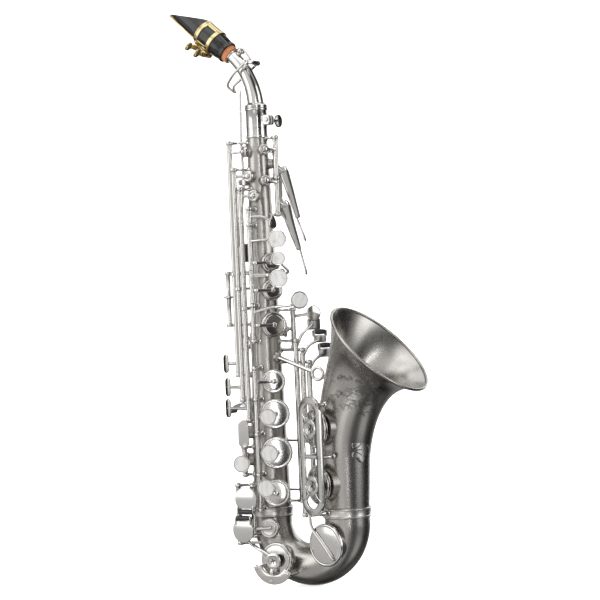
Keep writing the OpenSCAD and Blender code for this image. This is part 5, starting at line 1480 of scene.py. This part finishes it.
rng = random.Random(11)
for stem in range(11):
    q0, u0 = rad(-150 + 7.2 * stem), 0.42 + 0.05 * (stem % 3)
    for k in range(5):
        side = 1 if (k + stem) % 2 else -1
        u = u0 + 0.075 * k + rng.uniform(-0.02, 0.02)
        q = q0 + rad(rng.uniform(-3.5, 3.5))
        pts = scroll(u, q, rng.uniform(7, 13), rad(90 + side * rng.uniform(5, 60)),
                     side * rng.uniform(1.6, 4.4))
        P.sweep(pts, (0.26, 0.10), "engraved", thick=0.07, seg=6, round_by=0.05, ends=False)
        for j in range(5):
            s = pts[4 + 3 * j - 3]
            d = (pts[4 + 3 * j - 2] - s).normalized()
            c = Vector((bell_x(BELL_STRAIGHT + BELL_CURVE * math.sin(rad(BELL_LEAN * u))), 0, s.z))
            out = (s - c).normalized()
            w = d.cross(out).normalized() * side
            P.sweep([s, s + w * 1.1 + d * 0.9, s + w * 1.7 + d * 2.2], (0.24, 0.1), "engraved", thick=0.06,
                    seg=6, round_by=0.6, ends=False)
P.build("body", slot="silver_body", weld=False)

P = Piece("bow_seams")
for side in (-1, 1):
    pts = []
    for i in range(61):
        t = 0.46 + 0.54 * i / 60
        a = 180 * t
        r = (BODY_D + (BOW_D - BODY_D) * t) / 2 + 0.03
        phi = rad(180 - side * (38 + 20 * t))
        c, s = r * math.cos(phi), r * math.sin(phi)
        b = rad(a - 90)
        pts.append(Vector((bow_r - bow_r * math.cos(rad(a)) - c * math.sin(b), s,
                           -BOW_LEG - bow_r * math.sin(rad(a))
                           + c * math.cos(b))))
    P.sweep(pts, (0.28, 0.28), "engraved", thick=0.1, seg=6, round_by=0.05, ends=False)
P.build("body", slot="silver_body", weld=False)


# ---------------------------------------------------------------- stage, lights and camera
def stage():
    floor_z = cad_box[0].z - 0.0004
    bm = bmesh.new()
    seg = 96
    rows = [(0.0, 0.0), (1.0, 0.0), (2.6, 0.0)]
    for k in range(1, 13):
        a = math.pi / 2 * k / 12
        rows.append((2.6 + 0.9 * math.sin(a), 0.9 - 0.9 * math.cos(a)))
    rows.append((3.5, 4.0))
    rings = []
    for r, z in rows:
        if r == 0:
            rings.append([bm.verts.new((0, 0, floor_z))])
        else:
            rings.append([bm.verts.new((r * math.cos(2 * math.pi * i / seg),
                                        r * math.sin(2 * math.pi * i / seg),
                                        floor_z + z)) for i in range(seg)])
    for a, b in zip(rings, rings[1:]):
        for i in range(seg):
            j = (i + 1) % seg
            if len(a) == 1:
                bm.faces.new((a[0], b[i], b[j]))
            else:
                bm.faces.new((a[i], b[i], b[j], a[j]))
    mesh = bpy.data.meshes.new("backdrop")
    bm.to_mesh(mesh)
    bm.free()
    for p in mesh.polygons:
        p.use_smooth = True
    o = bpy.data.objects.new("backdrop", mesh)
    bpy.context.scene.collection.objects.link(o)
    m, t, b = new_mat("backdrop_paper")
    n = noise(t, coords(t), 6.0, 3.0)
    link(t, ramp(t, n, [(0.3, (0.86, 0.86, 0.855)), (0.7, (0.90, 0.90, 0.895))]), b.inputs["Base Color"])
    b.inputs["Roughness"].default_value = 0.9
    b.inputs["Emission Color"].default_value = (1, 1, 1, 1)
    b.inputs["Emission Strength"].default_value = 0.62
    mesh.materials.append(m)
    o.visible_glossy = False
    o.visible_shadow = False


stage()

CENTRE = Vector((0.0528, 0.0, 0.033))
VIEW = 29.3
AZ, ROLL, DIST = math.radians(VIEW), math.radians(-2.4), 1.6
TO_CAMERA = Vector((math.sin(AZ), -math.cos(AZ), 0.0))


def area(name, az, el, dist, size, power, size_y=None):
    a, e = math.radians(az), math.radians(el)
    d = Vector((math.sin(a) * math.cos(e), -math.cos(a) * math.cos(e), math.sin(e)))
    light = bpy.data.lights.new(name, "AREA")
    light.energy = power
    light.shape = "RECTANGLE"
    light.size = size
    light.size_y = size_y or size
    o = bpy.data.objects.new(name, light)
    bpy.context.scene.collection.objects.link(o)
    o.location = CENTRE + d * dist
    o.rotation_mode = "QUATERNION"
    o.rotation_quaternion = (-d).to_track_quat("-Z", "Y")


area("key_softbox", VIEW - 66, 20, 1.5, 1.0, 5.0, 1.6)
area("fill_softbox", VIEW + 62, 14, 1.6, 0.7, 4.2, 1.5)
area("top_softbox", VIEW - 10, 76, 1.5, 1.3, 5.0)
area("back_softbox", VIEW + 176, 58, 1.7, 1.0, 3.5)
area("back_left", VIEW + 148, 12, 1.6, 0.8, 4.0, 1.4)
area("back_right", VIEW - 148, 12, 1.6, 0.8, 4.0, 1.4)
area("front_strip", VIEW + 9, 4, 1.9, 0.14, 2.4, 1.3)
area("low_card", VIEW - 25, -38, 1.4, 0.5, 0.9, 0.9)

# The studio that the metal mirrors: white cards with dark gaps, one card to its left and one behind it
world = bpy.data.worlds.new("studio")
bpy.context.scene.world = world
world.use_nodes = True
wt = world.node_tree
wt.nodes.clear()
w_out = wt.nodes.new("ShaderNodeOutputWorld")
w_bg = wt.nodes.new("ShaderNodeBackground")
w_tc = wt.nodes.new("ShaderNodeTexCoord")
w_sep = wt.nodes.new("ShaderNodeSeparateXYZ")
link(wt, w_tc.outputs["Generated"], w_sep.inputs[0])
angle = math_node(wt, "ARCTAN2", w_sep.outputs["Y"], w_sep.outputs["X"])
bands = math_node(wt, "SINE", math_node(wt, "ADD", math_node(wt, "MULTIPLY", angle, 5.0), 0.9), 0.0)
bands = span(wt, bands, 0.14, 0.95, -0.15, 0.30)
tiers = math_node(wt, "SINE", math_node(wt, "MULTIPLY", w_sep.outputs["Z"], 7.5), 0.0)
tiers = span(wt, tiers, 0.35, 1.0, -0.4, 0.4)


def facing(x, y):
    """How far a direction of the world points along (x, y)."""
    return math_node(wt, "ADD", math_node(wt, "MULTIPLY", w_sep.outputs["X"], x),
                     math_node(wt, "MULTIPLY", w_sep.outputs["Y"], y))


behind_it = facing(-TO_CAMERA.x, -TO_CAMERA.y)
front = math_node(wt, "MULTIPLY", span(wt, behind_it, 1.0, 0.30, -0.05, 0.35),
                  span(wt, behind_it, 1.0, 0.06, 0.40, 0.75))
left_of_it = facing(-0.375, -0.927)
card = span(wt, left_of_it, 0.0, 0.80, 0.42, 0.60)
card = math_node(wt, "MAXIMUM", card, span(wt, behind_it, 0.0, 0.5, 0.64, 0.90))
level = math_node(wt, "MULTIPLY", math_node(wt, "MULTIPLY", bands, tiers), front)
level = math_node(wt, "MAXIMUM", level, card)
level = math_node(wt, "MULTIPLY", level, span(wt, w_sep.outputs["Z"], 0.55, 1.05, -0.5, 0.8))
link(wt, level, w_bg.inputs["Strength"])
w_bg.inputs["Color"].default_value = (1.0, 0.99, 0.975, 1)
link(wt, w_bg.outputs[0], w_out.inputs[0])

cam_data = bpy.data.cameras.new("camera")
cam_data.lens = 120.0
cam_data.sensor_width = 36.0
cam_data.clip_start, cam_data.clip_end = 0.05, 50.0
cam = bpy.data.objects.new("camera", cam_data)
bpy.context.scene.collection.objects.link(cam)
cam.location = CENTRE + TO_CAMERA * DIST
cam.rotation_mode = "QUATERNION"
turn = (-TO_CAMERA).to_track_quat("-Z", "Y").to_matrix() @ Matrix.Rotation(ROLL, 3, "Z")
cam.rotation_quaternion = turn.to_quaternion()
bpy.context.scene.camera = cam
bpy.context.scene.view_settings.view_transform = "Standard"
